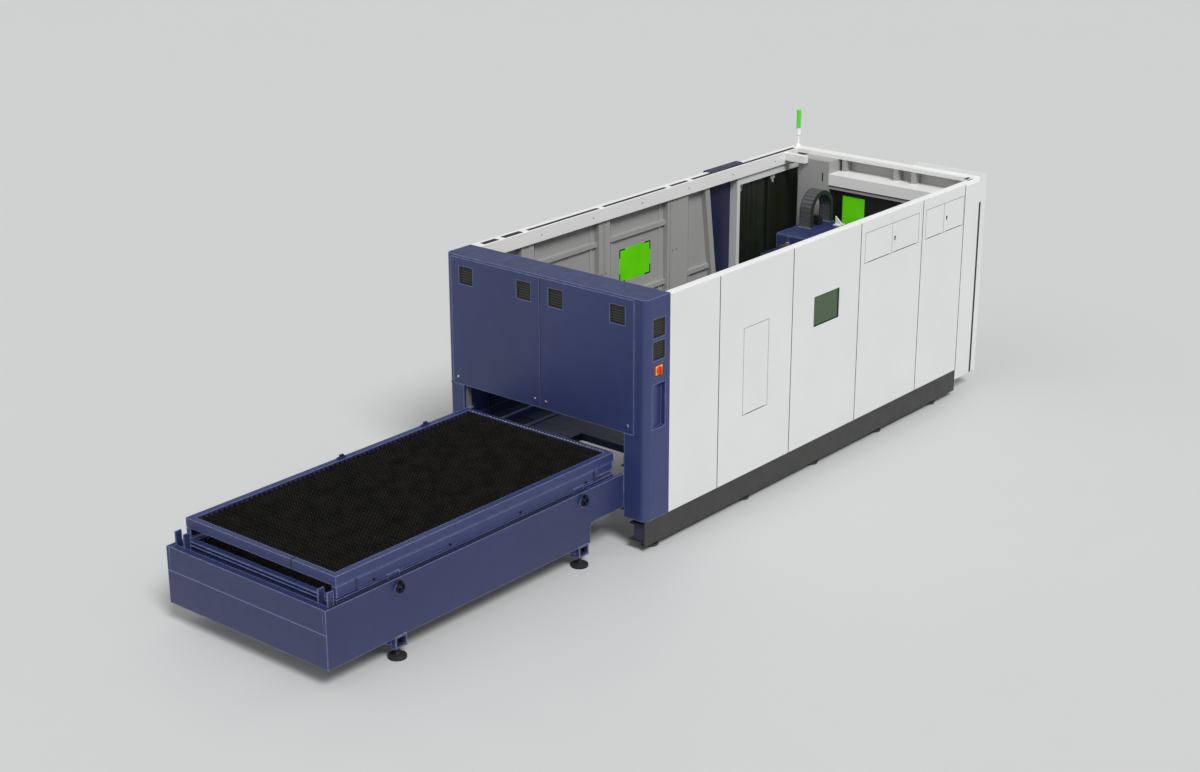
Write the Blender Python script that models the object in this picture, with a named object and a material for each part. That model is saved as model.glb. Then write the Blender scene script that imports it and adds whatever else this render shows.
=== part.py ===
"""Enclosed flat-bed fiber laser cutting machine with an exchange table for two pallets.

Frame: +X runs from the exchange table to the rear cabinet, -Y is the long side with the
hatches, +Z is up. The origin is the centre of the bounding box on the floor. Metres.
"""

import math

import bmesh
import bpy
from mathutils import Matrix, Vector

# Clearances
SEAT = 0.0003          # gap between pieces that rest on or against each other
SEAM = 0.004           # visible joint between sheet metal panels
RUNNING = 0.002        # side clearance of a piece that slides past a wall

# Overall layout
HALF_LENGTH = 4.39
ROOF_TOP = 2.215
SIDE_REACH = 0.030     # what stands out of each long side: switch handle, accent panel

# Widths, from the pallet outwards
PALLET_HALF = 0.836
TABLE_MARGIN = 0.055   # from the pallet's side to the table's
RAIL_MARGIN = 0.022    # from the pallet's side to the bed's wall
BED_WALL = 0.092
CABIN_MARGIN = 0.167   # from the bed's outside to the cabin's
TABLE_HALF = PALLET_HALF + TABLE_MARGIN
BED_WALL_INNER = PALLET_HALF + RAIL_MARGIN
CHANNEL_INNER = BED_WALL_INNER + BED_WALL
HALF_WIDTH = CHANNEL_INNER + CABIN_MARGIN

# Exchange table
TABLE_LENGTH = 3.366
TABLE_WALL = 0.033
TABLE_END_WALL = 0.065
TABLE_BOTTOM = 0.189
TABLE_TOP = 0.668
END_CREASE_Z = 0.470
END_CREASE = 0.005
STEP_LENGTH = 0.432
STEP_BOTTOM = 0.367
STEP_FILLET = 0.050
CROSS_TUBE = 0.110
CROSS_TUBE_HEIGHT = 0.070
LEG_SPACING = 2.110
LEG_INSET = 0.730      # from the end of the table to the first leg
LEG_BOX = 0.120
LEG_BOX_DEPTH = 0.100
LEG_BOTTOM = 0.100
LEG_WALL = 0.012
LEG_MOUTH = 0.060      # depth of the open end of a leg box
GUSSET_LENGTH = 0.140
GUSSET = 0.010
LUG_RADIUS = 0.042
LUG_HOLE = 0.020
LUG_THICKNESS = 0.016
LUG_Z = 0.575
JACK_RADIUS = 0.030
JACK_Y = 0.500

# Levelling feet
FOOT_RADIUS = 0.074
FOOT_DISC = 0.040
FOOT_NECK = 0.024
FOOT_STEM = 0.016
ROUND_STEPS = 16

# Pallets
PALLET_LENGTH = 3.137
PALLET_TOP = 0.865
PALLET_BEAM = 0.078
PALLET_SIDE_WIDTH = 0.060
PALLET_END_WIDTH = 0.050
PALLET_PITCH = 0.187
PALLET_LEDGE = 0.018
PALLET_LEDGE_THICKNESS = 0.007
PALLET_TRAVEL = 3.65
PALLET_END_GAP = 0.098  # from the table's end wall to the pallets
SLAT_COUNT = 34
SLAT_THICKNESS = 0.005
SLAT_TEETH = 11
SLAT_TIP = 0.007       # tooth tips above the pallet frame
SLAT_TOOTH = 0.022
SLAT_INSET = 0.040     # first slat from the end beam
COMB_BARS = 3
COMB_HEIGHT = 0.026
COMB_THICKNESS = 0.006

# Wheels and the rails they run in
RAIL_HEIGHT = 0.090
RAIL_FLANGE = 0.010
RAIL_WEB = 0.008
RAIL_REACH = 0.036     # flange width from the web's outer face
WHEEL_RADIUS = 0.0345
WHEEL_WIDTH = 0.022
WHEEL_COUNT = 4
WHEEL_INSET = 0.270
BRACKET_THICKNESS = 0.018
BRACKET_LENGTH = 0.060
LIFT_RAIL_FRONT = 0.380  # how far the lift's rails reach past its cross beams
LIFT_RAIL_BACK = 0.230
LINK_PLATE = 0.012
LINK_WIDTH = 0.120
LIFT_BEAM = 0.100
LIFT_BEAM_HEIGHT = 0.070

# Stops for the pallets at the table's end
STOP_LENGTH = 0.060
STOP_WIDTH = 0.110
STOP_PLATE = 0.012
STOP_TOP = 0.778
STOP_BOTTOM = 0.560
STOP_INSET = 0.091     # from the pallet's side to the stop's inner face
STOP_Y = PALLET_HALF - STOP_INSET

# Portal
PORTAL_FRONT = -1.017
PORTAL_DEPTH = 0.317
NEAR_LEG_WIDTH = 0.228
FAR_LEG_WIDTH = 0.177
PORTAL_HEAD = 0.110
PORTAL_CORNER = 0.055
CABIN_BOTTOM = 0.275
FLAP_BOTTOM = 1.030
FLAP_TOP = ROOF_TOP - 0.020
FLAP_THICKNESS = 0.030
FLAP_NEAR_INSET = 0.128
FLAP_FAR_INSET = 0.062
FLAP_NEAR_EDGE = FLAP_NEAR_INSET - HALF_WIDTH
FLAP_FAR_EDGE = HALF_WIDTH - FLAP_FAR_INSET
FLAP_SEAM_Y = 0.033
LOCK_RADIUS = 0.013
LOCK_HEIGHT = 0.009
LOCK_Z = 1.101
LOCK_INSET = 0.060
VENT_SIZE = 0.162
VENT_TOP = ROOF_TOP - 0.091
VENT_DEPTH = 0.020
VENT_OUTER_INSET = 0.092
VENT_INNER_INSET = 0.096
VENT_FRAME = 0.010
VENT_BLADES = 6
VENT_BLADE = 0.003
SIDE_VENT_X = -0.845
SIDE_VENT_TOPS = (ROOF_TOP - 0.183, ROOF_TOP - 0.377)
POCKET_WIDTH = 0.170
POCKET_TOP = ROOF_TOP - 0.745
POCKET_HEIGHT = 0.390
POCKET_BOTTOM = POCKET_TOP - POCKET_HEIGHT
POCKET_DEPTH = 0.045
POCKET_SHALLOW = 0.006  # depth at the pocket's front edge
SWITCH_WIDTH = 0.120
SWITCH_HEIGHT = 0.108
SWITCH_Z = ROOF_TOP - 0.628
SWITCH_PLATE = 0.006
SWITCH_KNOB = 0.032
SHUTTER_THICKNESS = 0.016
SHUTTER_SETBACK = 0.085
SHUTTER_BOTTOM = 1.062
SHUTTER_TOP = ROOF_TOP - 0.453
SHUTTER_HEIGHT = SHUTTER_TOP - SHUTTER_BOTTOM

# Cabin walls
PANEL_THICKNESS = 0.020
PANEL_TOP = ROOF_TOP - 0.020
PANEL_PITCH = 1.077
FIRST_PANEL_END = -0.020
PANEL_COUNT = 5
REAR_START = 3.990
REAR_BOTTOM = 0.168
HATCH_THICKNESS = 0.014
HATCH_GAP = 0.002
SERVICE_HATCH = (0.334, 0.700, 0.842, ROOF_TOP - 0.573)
UPPER_HATCH_LOW = ROOF_TOP - 0.418
UPPER_HATCH_HIGH = ROOF_TOP - 0.128
HATCH_FOUR = (2.208, 2.670, 3.140)
HATCH_FIVE = (3.268, 3.600, 3.972)
NEAR_WINDOW = (1.397, 1.803, ROOF_TOP - 0.833, ROOF_TOP - 0.549)
PANE_THICKNESS = 0.010
PANE_REBATE = 0.012
POST_DEPTH = 0.034
POST_WIDTH = 0.060
NEAR_RAIL_HEIGHT = 0.075

# Far side
FAR_RAIL_WIDTH = 0.117
FAR_RAIL_HEIGHT = 0.125
FAR_SKIN = 0.030
FAR_POSTS = ((-0.135, 0.033), (0.950, 1.115), (1.995, 2.324))
FAR_POST_DEPTH = 0.060
FAR_RIB_LOW = ROOF_TOP - 0.960
FAR_RIB_HIGH = ROOF_TOP - 0.356
FAR_RIB_HEIGHT = 0.045
FAR_RIB_DEPTH = 0.030
FAR_WINDOW = (1.335, 1.785, ROOF_TOP - 0.813, ROOF_TOP - 0.509)
SLANT_TOP_X = 2.650
SLANT_BOTTOM_X = 2.920
SLANT_POST_WIDTH = 0.070
ACCENT_LAP = 0.060
ACCENT_END_X = 3.270
ACCENT_FLANGE_X = 2.720
ACCENT_FLANGE = 0.008
ACCENT_FLANGE_REACH = 0.050  # over the far top rail
DOOR_START_X = 3.190
DOOR_END_X = 4.250
DOOR_POST_WIDTH = 0.050
DOOR_POST_DEPTH = 0.090
DOOR_SILL = 0.060
TRACK_HEIGHT = 0.085
LEAF_THICKNESS = 0.020
LEAF_GAP = 0.006
LEAF_LAP = 0.020
LEAF_RIB = 0.004

# Rear
REAR_BACK = 4.290
REAR_SKIN = 0.020
REAR_BEAM_DEPTH = 0.185
REAR_BEAM_TOP = ROOF_TOP - 0.165
REAR_BEAM_HEIGHT = 0.115
REAR_BEAM_BOTTOM = REAR_BEAM_TOP - REAR_BEAM_HEIGHT
REAR_RAIL_HEIGHT = 0.040
REAR_RAIL_DEPTH = 0.120
REAR_POST_Y = (0.420, -0.200, -0.410)
REAR_POST_WIDTH = 0.050
REAR_POST_DEPTH = 0.100
COLUMN_OUTER_Y = HALF_WIDTH - 0.252
COLUMN_WIDTH = 0.375
COLUMN_INNER_Y = COLUMN_OUTER_Y - COLUMN_WIDTH
COLUMN_SKIN = 0.020
COLUMN_SLOT = 0.020     # width of the cable slot in the column
COLUMN_SLOT_INSET = 0.065
CORNER_BLOCK = (0.060, 0.250, 0.075)
INNER_WALL_THICKNESS = 0.020
INNER_WALL_X = 4.035
REAR_WINDOW_INSET = 0.156   # from the column to the window
REAR_WINDOW_WIDTH = 0.267
REAR_WINDOW_TOP = ROOF_TOP - 0.375
REAR_WINDOW_HEIGHT = 0.300
REAR_DOOR_EDGE_Y = -0.340
REAR_DOOR_TOP = ROOF_TOP + 0.020
REVEAL_TOP = ROOF_TOP - 0.250
REAR_DOOR_RECESS = 0.008

# Plinth
PLINTH_BOTTOM = 0.055
PLINTH_SKIN = 0.014
CHANNEL_BOTTOM = 0.085
CHANNEL_TOP = 0.245
CHANNEL_FLANGE = 0.014
PLINTH_FEET_X = (-0.830, 0.470, 1.560, 2.640, 3.640)
PLINTH_FOOT_INSET = 0.095
PLINTH_FOOT_Y = HALF_WIDTH - PLINTH_FOOT_INSET

# Machine bed
BED_BOTTOM = 0.160
BED_TOP = 1.060
BED_START = -0.690
BED_END = 3.930
BED_CROSS = 0.140
BED_CROSS_HEIGHT = 0.120
BED_CROSS_X = (1.150, 2.350, 3.780)
BED_RAIL_START = -0.950
BED_RAIL_OVERRUN = 0.220
TIE_BOTTOM = 0.380
TIE_TOP = 0.480
TIE_THICKNESS = 0.026
APRON_X = -1.000
APRON_THICKNESS = 0.012
APRON_BOTTOM = 0.325
BRIDGE_THICKNESS = 0.012
BRIDGE_START = -0.620
BRIDGE_END = -0.450
GUIDE_WIDTH = 0.030
GUIDE_HEIGHT = 0.028
GUIDE_INSET = 0.046
DRIVE_FRONT = -0.900
DRIVE_STEP = -0.730
DRIVE_STEP_Y = -0.180
DRIVE_INSET = 0.061     # from the pallet's side
DRIVE_NEAR = DRIVE_INSET - PALLET_HALF
DRIVE_FAR = 0.265
DRIVE_HEIGHT = 0.066
DRIVE_WALL = 0.012

# Gantry, carriage and head
GANTRY_X = 3.620
GANTRY_DEPTH = 0.340
GANTRY_BOTTOM = 0.985
GANTRY_TOP = 1.240
GANTRY_SPAN = BED_WALL_INNER - 0.028  # half span of the deep middle, between the bed's walls
GANTRY_HALF = CHANNEL_INNER - 0.015
GANTRY_END_BOTTOM = 1.110
MOTOR_RADIUS = 0.045
MOTOR_REACH = 0.080
BLOCK_LENGTH = 0.120
BLOCK_WIDTH = 0.060
Y_GUIDE = 0.022
CARRIAGE_Y = 0.385
CARRIAGE_HALF = 0.185
CARRIAGE_FRONT = 3.200
CARRIAGE_REACH = 3.945
CARRIAGE_BOTTOM = 1.110
CARRIAGE_TOP = 1.580
CARRIAGE_CHAMFER = 0.012
HEAD_DEPTH = 0.130
HEAD_HALF = 0.060
HEAD_TOP = 1.500
HEAD_BOTTOM = 1.100
HEAD_TAPER = 0.100
NOZZLE_TIP = 0.985
CHAIN_X = 3.734
CHAIN_Y = 0.4525
CHAIN_WIDTH = 0.145
CHAIN_RADIUS = 0.1775
CHAIN_THICKNESS = 0.045
CHAIN_STRAIGHT = 0.163
CHAIN_LINK = 0.041
CHAIN_NOTCH = 0.005

# Stack light
LIGHT_X = 4.240
LIGHT_Y = HALF_WIDTH - 0.067
LIGHT_TOP = ROOF_TOP + 0.389
LENS_HEIGHT = 0.196
LENS_BOTTOM = LIGHT_TOP - LENS_HEIGHT
COLLAR_BOTTOM = LENS_BOTTOM - 0.072
LENS_RADIUS = 0.024
LIGHT_STEM = 0.010
LIGHT_BASE = 0.028
LIGHT_BASE_HEIGHT = 0.020

# Values that follow from the sizes above
TABLE_START = -HALF_LENGTH
TABLE_END = TABLE_START + TABLE_LENGTH
PALLET_START = TABLE_START + TABLE_END_WALL + PALLET_END_GAP
PALLET_END = PALLET_START + PALLET_LENGTH
PALLET_BOTTOM = PALLET_TOP - PALLET_BEAM
RAIL_TOP = PALLET_BOTTOM - 0.006
RAIL_BOTTOM = RAIL_TOP - RAIL_HEIGHT
RAIL_OUTER = PALLET_HALF + 0.002
PORTAL_BACK = PORTAL_FRONT + PORTAL_DEPTH
NEAR_LEG_INNER = HALF_WIDTH - NEAR_LEG_WIDTH
FAR_LEG_INNER = HALF_WIDTH - FAR_LEG_WIDTH
PANEL_INNER = HALF_WIDTH - PANEL_THICKNESS
FAR_RAIL_BOTTOM = ROOF_TOP - FAR_RAIL_HEIGHT
GUIDE_TOP = BED_TOP + GUIDE_HEIGHT
BED_RAIL_END = PALLET_END + PALLET_TRAVEL + BED_RAIL_OVERRUN
GANTRY_FRONT = GANTRY_X - GANTRY_DEPTH / 2
GANTRY_BACK = GANTRY_X + GANTRY_DEPTH / 2
LEG_X = (TABLE_START + LEG_INSET, TABLE_START + LEG_INSET + LEG_SPACING)
LEG_Y = TABLE_HALF - LEG_BOX_DEPTH / 2 + 0.010

BLUE = (0.050, 0.060, 0.140)
WHITE = (0.800, 0.800, 0.800)
GREY = (0.300, 0.300, 0.290)
DARK = (0.045, 0.045, 0.045)
BLACK = (0.012, 0.012, 0.012)
STEEL = (0.550, 0.550, 0.560)
SLAT = (0.020, 0.020, 0.018)
GREEN_GLASS = (0.080, 0.450, 0.010)
SMOKE_GLASS = (0.030, 0.045, 0.020)
YELLOW = (0.850, 0.400, 0.030)
RED = (0.600, 0.030, 0.020)


def clear_scene():
    """Remove every object that the file holds."""
    for item in list(bpy.data.objects):
        bpy.data.objects.remove(item)


def mesh_object(name, bm):
    """Turn a bmesh into an object with its faces pointing out."""
    bmesh.ops.recalc_face_normals(bm, faces=bm.faces)
    mesh = bpy.data.meshes.new(name)
    bm.to_mesh(mesh)
    bm.free()
    item = bpy.data.objects.new(name, mesh)
    bpy.context.collection.objects.link(item)
    return item


def box(x0, x1, y0, y1, z0, z1):
    """A block between two corners, given in any order along each axis."""
    bm = bmesh.new()
    bmesh.ops.create_cube(bm, size=1.0)
    size = Vector((abs(x1 - x0), abs(y1 - y0), abs(z1 - z0)))
    centre = Vector(((x0 + x1) / 2, (y0 + y1) / 2, (z0 + z1) / 2))
    bmesh.ops.scale(bm, vec=size, verts=bm.verts)
    bmesh.ops.translate(bm, vec=centre, verts=bm.verts)
    return mesh_object("box", bm)


def prism(points, axis, start, end):
    """Extrude a closed outline along an axis: points are (y, z), (x, z) or (x, y)."""
    def at(point, value):
        a, b = point
        return {"X": (value, a, b), "Y": (a, value, b), "Z": (a, b, value)}[axis]

    bm = bmesh.new()
    low = [bm.verts.new(at(p, start)) for p in points]
    high = [bm.verts.new(at(p, end)) for p in points]
    bm.faces.new(low)
    bm.faces.new(reversed(high))
    for i, (a, b) in enumerate(zip(low, high)):
        j = (i + 1) % len(low)
        bm.faces.new((a, b, high[j], low[j]))
    return mesh_object("prism", bm)


def lathe(profile, centre, axis="Z", steps=ROUND_STEPS):
    """Turn (radius, height) points about an axis through centre; both ends lie on the axis."""
    bm = bmesh.new()
    rings = []
    for radius, height in profile:
        count = 1 if radius == 0 else steps
        turns = [2 * math.pi * k / steps for k in range(count)]
        rings.append([bm.verts.new((radius * math.cos(t), radius * math.sin(t), height)) for t in turns])
    for low, high in zip(rings, rings[1:]):
        for k in range(steps):
            quad = [low[k % len(low)], low[(k + 1) % len(low)], high[(k + 1) % len(high)], high[k % len(high)]]
            bm.faces.new(list(dict.fromkeys(quad)))
    turn = {"X": Matrix.Rotation(math.pi / 2, 4, "Y"), "Y": Matrix.Rotation(-math.pi / 2, 4, "X"), "Z": Matrix()}
    bm.transform(Matrix.Translation(centre) @ turn[axis])
    return mesh_object("turned", bm)


def disc(radius, start, end, centre, axis="Z", steps=ROUND_STEPS):
    """A round bar from start to end along the axis, measured from centre."""
    return lathe([(0, start), (radius, start), (radius, end), (0, end)], centre, axis, steps)


def arc(centre, radius, start_deg, end_deg, steps=4):
    """Points of an arc in a plane, both ends included."""
    angles = [math.radians(start_deg + (end_deg - start_deg) * k / steps) for k in range(steps + 1)]
    return [(centre[0] + radius * math.cos(a), centre[1] + radius * math.sin(a)) for a in angles]


def apply_modifiers(item):
    """Keep the evaluated mesh of an object and drop its modifiers."""
    graph = bpy.context.evaluated_depsgraph_get()
    mesh = bpy.data.meshes.new_from_object(item.evaluated_get(graph))
    old = item.data
    item.modifiers.clear()
    item.data = mesh
    bpy.data.meshes.remove(old)


def boolean(item, tools, operation):
    """Apply one exact boolean for each tool, then drop the tools."""
    for tool in tools:
        step = item.modifiers.new("step", "BOOLEAN")
        step.solver = "EXACT"
        step.operation = operation
        step.object = tool
        apply_modifiers(item)
        mesh = tool.data
        bpy.data.objects.remove(tool)
        bpy.data.meshes.remove(mesh)
    return item


def fuse(pieces):
    """Union of overlapping pieces: one closed body."""
    return boolean(pieces[0], pieces[1:], "UNION")


def cut(item, tools):
    """Take the tools out of an item."""
    return boolean(item, tools, "DIFFERENCE")


def bevel(item, width, segments=1, angle_deg=50):
    """Round the sharp edges of an item."""
    step = item.modifiers.new("edge", "BEVEL")
    step.width = width
    step.segments = segments
    step.limit_method = "ANGLE"
    step.angle_limit = math.radians(angle_deg)
    apply_modifiers(item)
    return item


def paint(name, colour, roughness=0.5, metallic=0.0, alpha=1.0):
    """A Principled material for one node."""
    material = bpy.data.materials.new(name)
    material.use_nodes = True
    shader = material.node_tree.nodes["Principled BSDF"]
    shader.inputs["Base Color"].default_value = (*colour, 1.0)
    shader.inputs["Roughness"].default_value = roughness
    shader.inputs["Metallic"].default_value = metallic
    shader.inputs["Alpha"].default_value = alpha
    return material


def joint_empty(name, point, parent=None):
    """An empty on a joint's axis that carries the nodes of one moving body."""
    item = bpy.data.objects.new(name, None)
    bpy.context.collection.objects.link(item)
    item["point"] = list(point)
    base = Vector(parent["point"]) if parent else Vector((0, 0, 0))
    item.location = Vector(point) - base
    item.parent = parent
    return item


def node(item, name, colour, body=None, roughness=0.5, metallic=0.0, alpha=1.0, smooth=False):
    """Name a finished piece, give it its material and hang it on its body's empty."""
    item.name = name
    item.data.name = name
    item.data.materials.clear()
    item.data.materials.append(paint(name, colour, roughness, metallic, alpha))
    if smooth:
        item.data.shade_smooth()
        item.data.set_sharp_from_angle(angle=math.radians(35))
    if body is not None:
        item.data.transform(Matrix.Translation(-Vector(body["point"])))
        item.parent = body
    return item


def side_name(side):
    """Near is -Y and far is +Y."""
    return "near" if side < 0 else "far"


# Exchange table

def table_side(side):
    """A long wall of the table, stepped up at the machine's end so that it clears the portal."""
    step_x = TABLE_END - STEP_LENGTH
    centre = (step_x + STEP_FILLET, STEP_BOTTOM - STEP_FILLET)
    outline = [(TABLE_START, TABLE_BOTTOM), (step_x, TABLE_BOTTOM)]
    outline += arc(centre, STEP_FILLET, 180, 90)
    outline += [(TABLE_END, STEP_BOTTOM), (TABLE_END, TABLE_TOP), (TABLE_START, TABLE_TOP)]
    return prism(outline, "Y", side * TABLE_HALF, side * (TABLE_HALF - TABLE_WALL))


def table_end_wall():
    """The folded end wall: its upper half leans in from a crease."""
    inner = TABLE_START + TABLE_END_WALL
    outline = [
        (TABLE_START, TABLE_BOTTOM), (TABLE_START, END_CREASE_Z), (TABLE_START + END_CREASE, TABLE_TOP),
        (inner, TABLE_TOP), (inner, TABLE_BOTTOM),
    ]
    reach = TABLE_HALF - TABLE_WALL / 2
    return prism(outline, "Y", -reach, reach)


def leg_bracket(x, side):
    """A box under the wall that takes a levelling foot, with its gusset."""
    outer = side * (LEG_Y + LEG_BOX_DEPTH / 2)
    inner = side * (LEG_Y - LEG_BOX_DEPTH / 2)
    half = LEG_BOX / 2
    lip = TABLE_BOTTOM + 0.01
    shoe = box(x - half, x + half, inner, outer, LEG_BOTTOM, lip)
    mouth = box(x - half + LEG_WALL, x + half - LEG_WALL, outer - side * LEG_MOUTH, outer + side * 0.1,
                LEG_BOTTOM + LEG_WALL, TABLE_BOTTOM - 0.004)
    cut(shoe, [mouth])
    outline = [(x - half - GUSSET_LENGTH, lip), (x, lip), (x, LEG_BOTTOM + 0.02), (x - half, LEG_BOTTOM + 0.02)]
    middle = side * LEG_Y
    gusset = prism(outline, "Y", middle - GUSSET / 2, middle + GUSSET / 2)
    return [shoe, gusset]


def lifting_lug(x, side):
    """A welded eye on the wall for lifting the table."""
    start = side * (TABLE_HALF - 0.004)
    end = side * (TABLE_HALF + LUG_THICKNESS)
    ring = disc(LUG_RADIUS, min(start, end), max(start, end), (x, 0, LUG_Z), "Y", 12)
    hole = disc(LUG_HOLE, min(start, end) - 0.02, max(start, end) + 0.02, (x, 0, LUG_Z), "Y", 12)
    hole.data.transform(Matrix.Translation((0, side * (0.004 + 0.02 + 0.001), 0)))
    return ring, hole


def pallet_stop(side):
    """A forked stop on the end wall that the pallets' ends lie against."""
    x0 = TABLE_START + TABLE_END_WALL - 0.004
    x1 = x0 + STOP_LENGTH
    y0 = side * STOP_Y
    y1 = side * (STOP_Y + STOP_WIDTH)
    block = box(x0, x1, y0, y1, STOP_BOTTOM, STOP_TOP)
    slot = box(x0 - 0.1, x1 + 0.1, y0 + side * STOP_PLATE, y1 - side * STOP_PLATE, TABLE_TOP - 0.03, STOP_TOP + 0.1)
    return cut(block, [slot])


def build_table_base():
    """The welded base: walls, end wall, cross tubes, jacks, leg brackets, lugs and stops."""
    pieces = [table_end_wall()]
    holes = []
    beam_bottom = lift_beam_bottom()
    for side in (-1, 1):
        pieces.append(table_side(side))
        pieces.append(pallet_stop(side))
        for x in LEG_X:
            pieces += leg_bracket(x, side)
            ring, hole = lifting_lug(x, side)
            pieces.append(ring)
            holes.append(hole)
    for x in LEG_X:
        reach = TABLE_HALF - TABLE_WALL / 2
        top = TABLE_BOTTOM + CROSS_TUBE_HEIGHT
        pieces.append(box(x - CROSS_TUBE / 2, x + CROSS_TUBE / 2, -reach, reach, TABLE_BOTTOM, top))
        for side in (-1, 1):
            pieces.append(disc(JACK_RADIUS, top - 0.01, beam_bottom - SEAT, (x, side * JACK_Y, 0), "Z", 12))
    base = cut(fuse(pieces), holes)
    return node(base, "table_base", BLUE, roughness=0.45)


def build_table_feet():
    """Four levelling feet, each a rubber-backed disc on a threaded stem."""
    for number, x in enumerate(LEG_X, start=1):
        for side in (-1, 1):
            foot = lathe(foot_profile(LEG_BOTTOM - SEAT), (x, side * LEG_Y, 0))
            node(foot, f"table_foot_{side_name(side)}_{number}", BLACK, roughness=0.6, smooth=True)


def foot_profile(top):
    """Half outline of a levelling foot that stands on the floor and ends at top."""
    return [
        (0, 0), (FOOT_RADIUS, 0), (FOOT_RADIUS, FOOT_DISC * 0.55), (FOOT_RADIUS * 0.72, FOOT_DISC * 0.8),
        (FOOT_NECK, FOOT_DISC), (FOOT_STEM, FOOT_DISC * 1.25), (FOOT_STEM, top), (0, top),
    ]


# Lift frame and pallets

def rail(side, x0, x1, top, outer, web):
    """A channel rail that is open to the inside; the wheels run between its flanges."""
    inner = RAIL_OUTER - RAIL_REACH
    face = outer - web
    bottom = top - RAIL_HEIGHT
    outline = [
        (outer, bottom), (outer, top), (inner, top), (inner, top - RAIL_FLANGE), (face, top - RAIL_FLANGE),
        (face, bottom + RAIL_FLANGE), (inner, bottom + RAIL_FLANGE), (inner, bottom),
    ]
    return prism([(side * y, z) for y, z in outline], "X", x0, x1)


def track(side, x0, x1):
    """A plain track on the bed's wall: a ledge that the wheels roll on and a face that guides them."""
    inner = RAIL_OUTER - RAIL_REACH
    outer = BED_WALL_INNER + 0.001
    face = RAIL_OUTER - RAIL_WEB
    ledge = RAIL_BOTTOM + RAIL_FLANGE
    outline = [(outer, RAIL_BOTTOM), (outer, RAIL_TOP), (face, RAIL_TOP), (face, ledge), (inner, ledge),
               (inner, RAIL_BOTTOM)]
    return prism([(side * y, z) for y, z in outline], "X", x0, x1)


def lift_beam_bottom():
    """Underside of the lift's cross beams at rest."""
    return RAIL_BOTTOM - PALLET_PITCH - LIFT_BEAM_HEIGHT


def build_lift_frame(body):
    """Two rails a side, tied by plates outside the pallets and beams below them."""
    start = LEG_X[0] - LIFT_RAIL_FRONT
    end = LEG_X[1] + LIFT_RAIL_BACK
    beam_bottom = lift_beam_bottom()
    beam_top = beam_bottom + LIFT_BEAM_HEIGHT + 0.002
    pieces = []
    for side in (-1, 1):
        for level in (0, PALLET_PITCH):
            pieces.append(rail(side, start, end, RAIL_TOP - level, RAIL_OUTER, RAIL_WEB))
        plate_inner = side * (RAIL_OUTER - 0.0005)
        plate_outer = side * (RAIL_OUTER + LINK_PLATE)
        for x in LEG_X:
            pieces.append(box(x - LINK_WIDTH / 2, x + LINK_WIDTH / 2, plate_inner, plate_outer, beam_bottom,
                              RAIL_BOTTOM + RAIL_FLANGE + 0.002))
    for x in LEG_X:
        reach = RAIL_OUTER + LINK_PLATE / 2
        pieces.append(box(x - LIFT_BEAM / 2, x + LIFT_BEAM / 2, -reach, reach, beam_bottom, beam_top))
    frame = fuse(order_for_union(pieces))
    node(frame, "lift_frame", BLUE, body, roughness=0.45)


def order_for_union(pieces):
    """Start with the last piece, a cross beam, so that each union touches what is there."""
    return [pieces[-1], pieces[-2]] + pieces[:-2]


def wheel_positions():
    """Wheel centres along a pallet."""
    first = PALLET_START + WHEEL_INSET
    pitch = (PALLET_LENGTH - 2 * WHEEL_INSET) / (WHEEL_COUNT - 1)
    return [first + k * pitch for k in range(WHEEL_COUNT)]


def pallet_wheel(side, x):
    """A wheel on its bracket, under a side beam and inside the rail."""
    inner_face = RAIL_OUTER - RAIL_REACH - RUNNING
    bracket_top = PALLET_BOTTOM + 0.004
    z = RAIL_BOTTOM + RAIL_HEIGHT / 2
    plate = box(
        x - BRACKET_LENGTH / 2, x + BRACKET_LENGTH / 2, side * inner_face, side * (inner_face - BRACKET_THICKNESS),
        z - 0.018, bracket_top,
    )
    start = inner_face - BRACKET_THICKNESS / 2
    near = inner_face + RUNNING + 0.002
    profile = [(0, start), (0.010, start), (0.010, near), (WHEEL_RADIUS, near)]
    profile += [(WHEEL_RADIUS, near + WHEEL_WIDTH), (0, near + WHEEL_WIDTH)]
    wheel = lathe(profile, (x, 0, z), "Y", ROUND_STEPS)
    if side < 0:
        wheel.data.transform(Matrix.Translation((x, 0, z)) @ Matrix.Rotation(math.pi, 4, "Z") @ Matrix.Translation((-x, 0, -z)))
    return [plate, wheel]


def pallet_frame():
    """A rectangular frame of tubes with a ledge for the slats and its wheels below."""
    outer = box(PALLET_START, PALLET_END, -PALLET_HALF, PALLET_HALF, PALLET_BOTTOM, PALLET_TOP)
    x0 = PALLET_START + PALLET_END_WIDTH
    x1 = PALLET_END - PALLET_END_WIDTH
    y1 = PALLET_HALF - PALLET_SIDE_WIDTH
    shelf = PALLET_BOTTOM + PALLET_LEDGE_THICKNESS
    well = box(x0, x1, -y1, y1, shelf, PALLET_TOP + 0.1)
    inset = PALLET_LEDGE
    through = box(x0 + inset, x1 - inset, -y1 + inset, y1 - inset, PALLET_BOTTOM - 0.1, PALLET_TOP)
    frame = cut(outer, [well, through])
    pieces = []
    for side in (-1, 1):
        for x in wheel_positions():
            pieces += pallet_wheel(side, x)
    return fuse([frame] + pieces)


def slat_outline(half):
    """One slat seen along X: a straight foot and a serrated top edge."""
    bottom = PALLET_BOTTOM + PALLET_LEDGE_THICKNESS + SEAT
    tip = PALLET_TOP + SLAT_TIP
    root = tip - SLAT_TOOTH
    pitch = 2 * half / SLAT_TEETH
    points = [(-half, bottom), (half, bottom), (half, root)]
    for k in range(SLAT_TEETH):
        start = half - k * pitch
        points.append((start - pitch / 2, tip))
        points.append((start - pitch, root))
    return points


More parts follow.
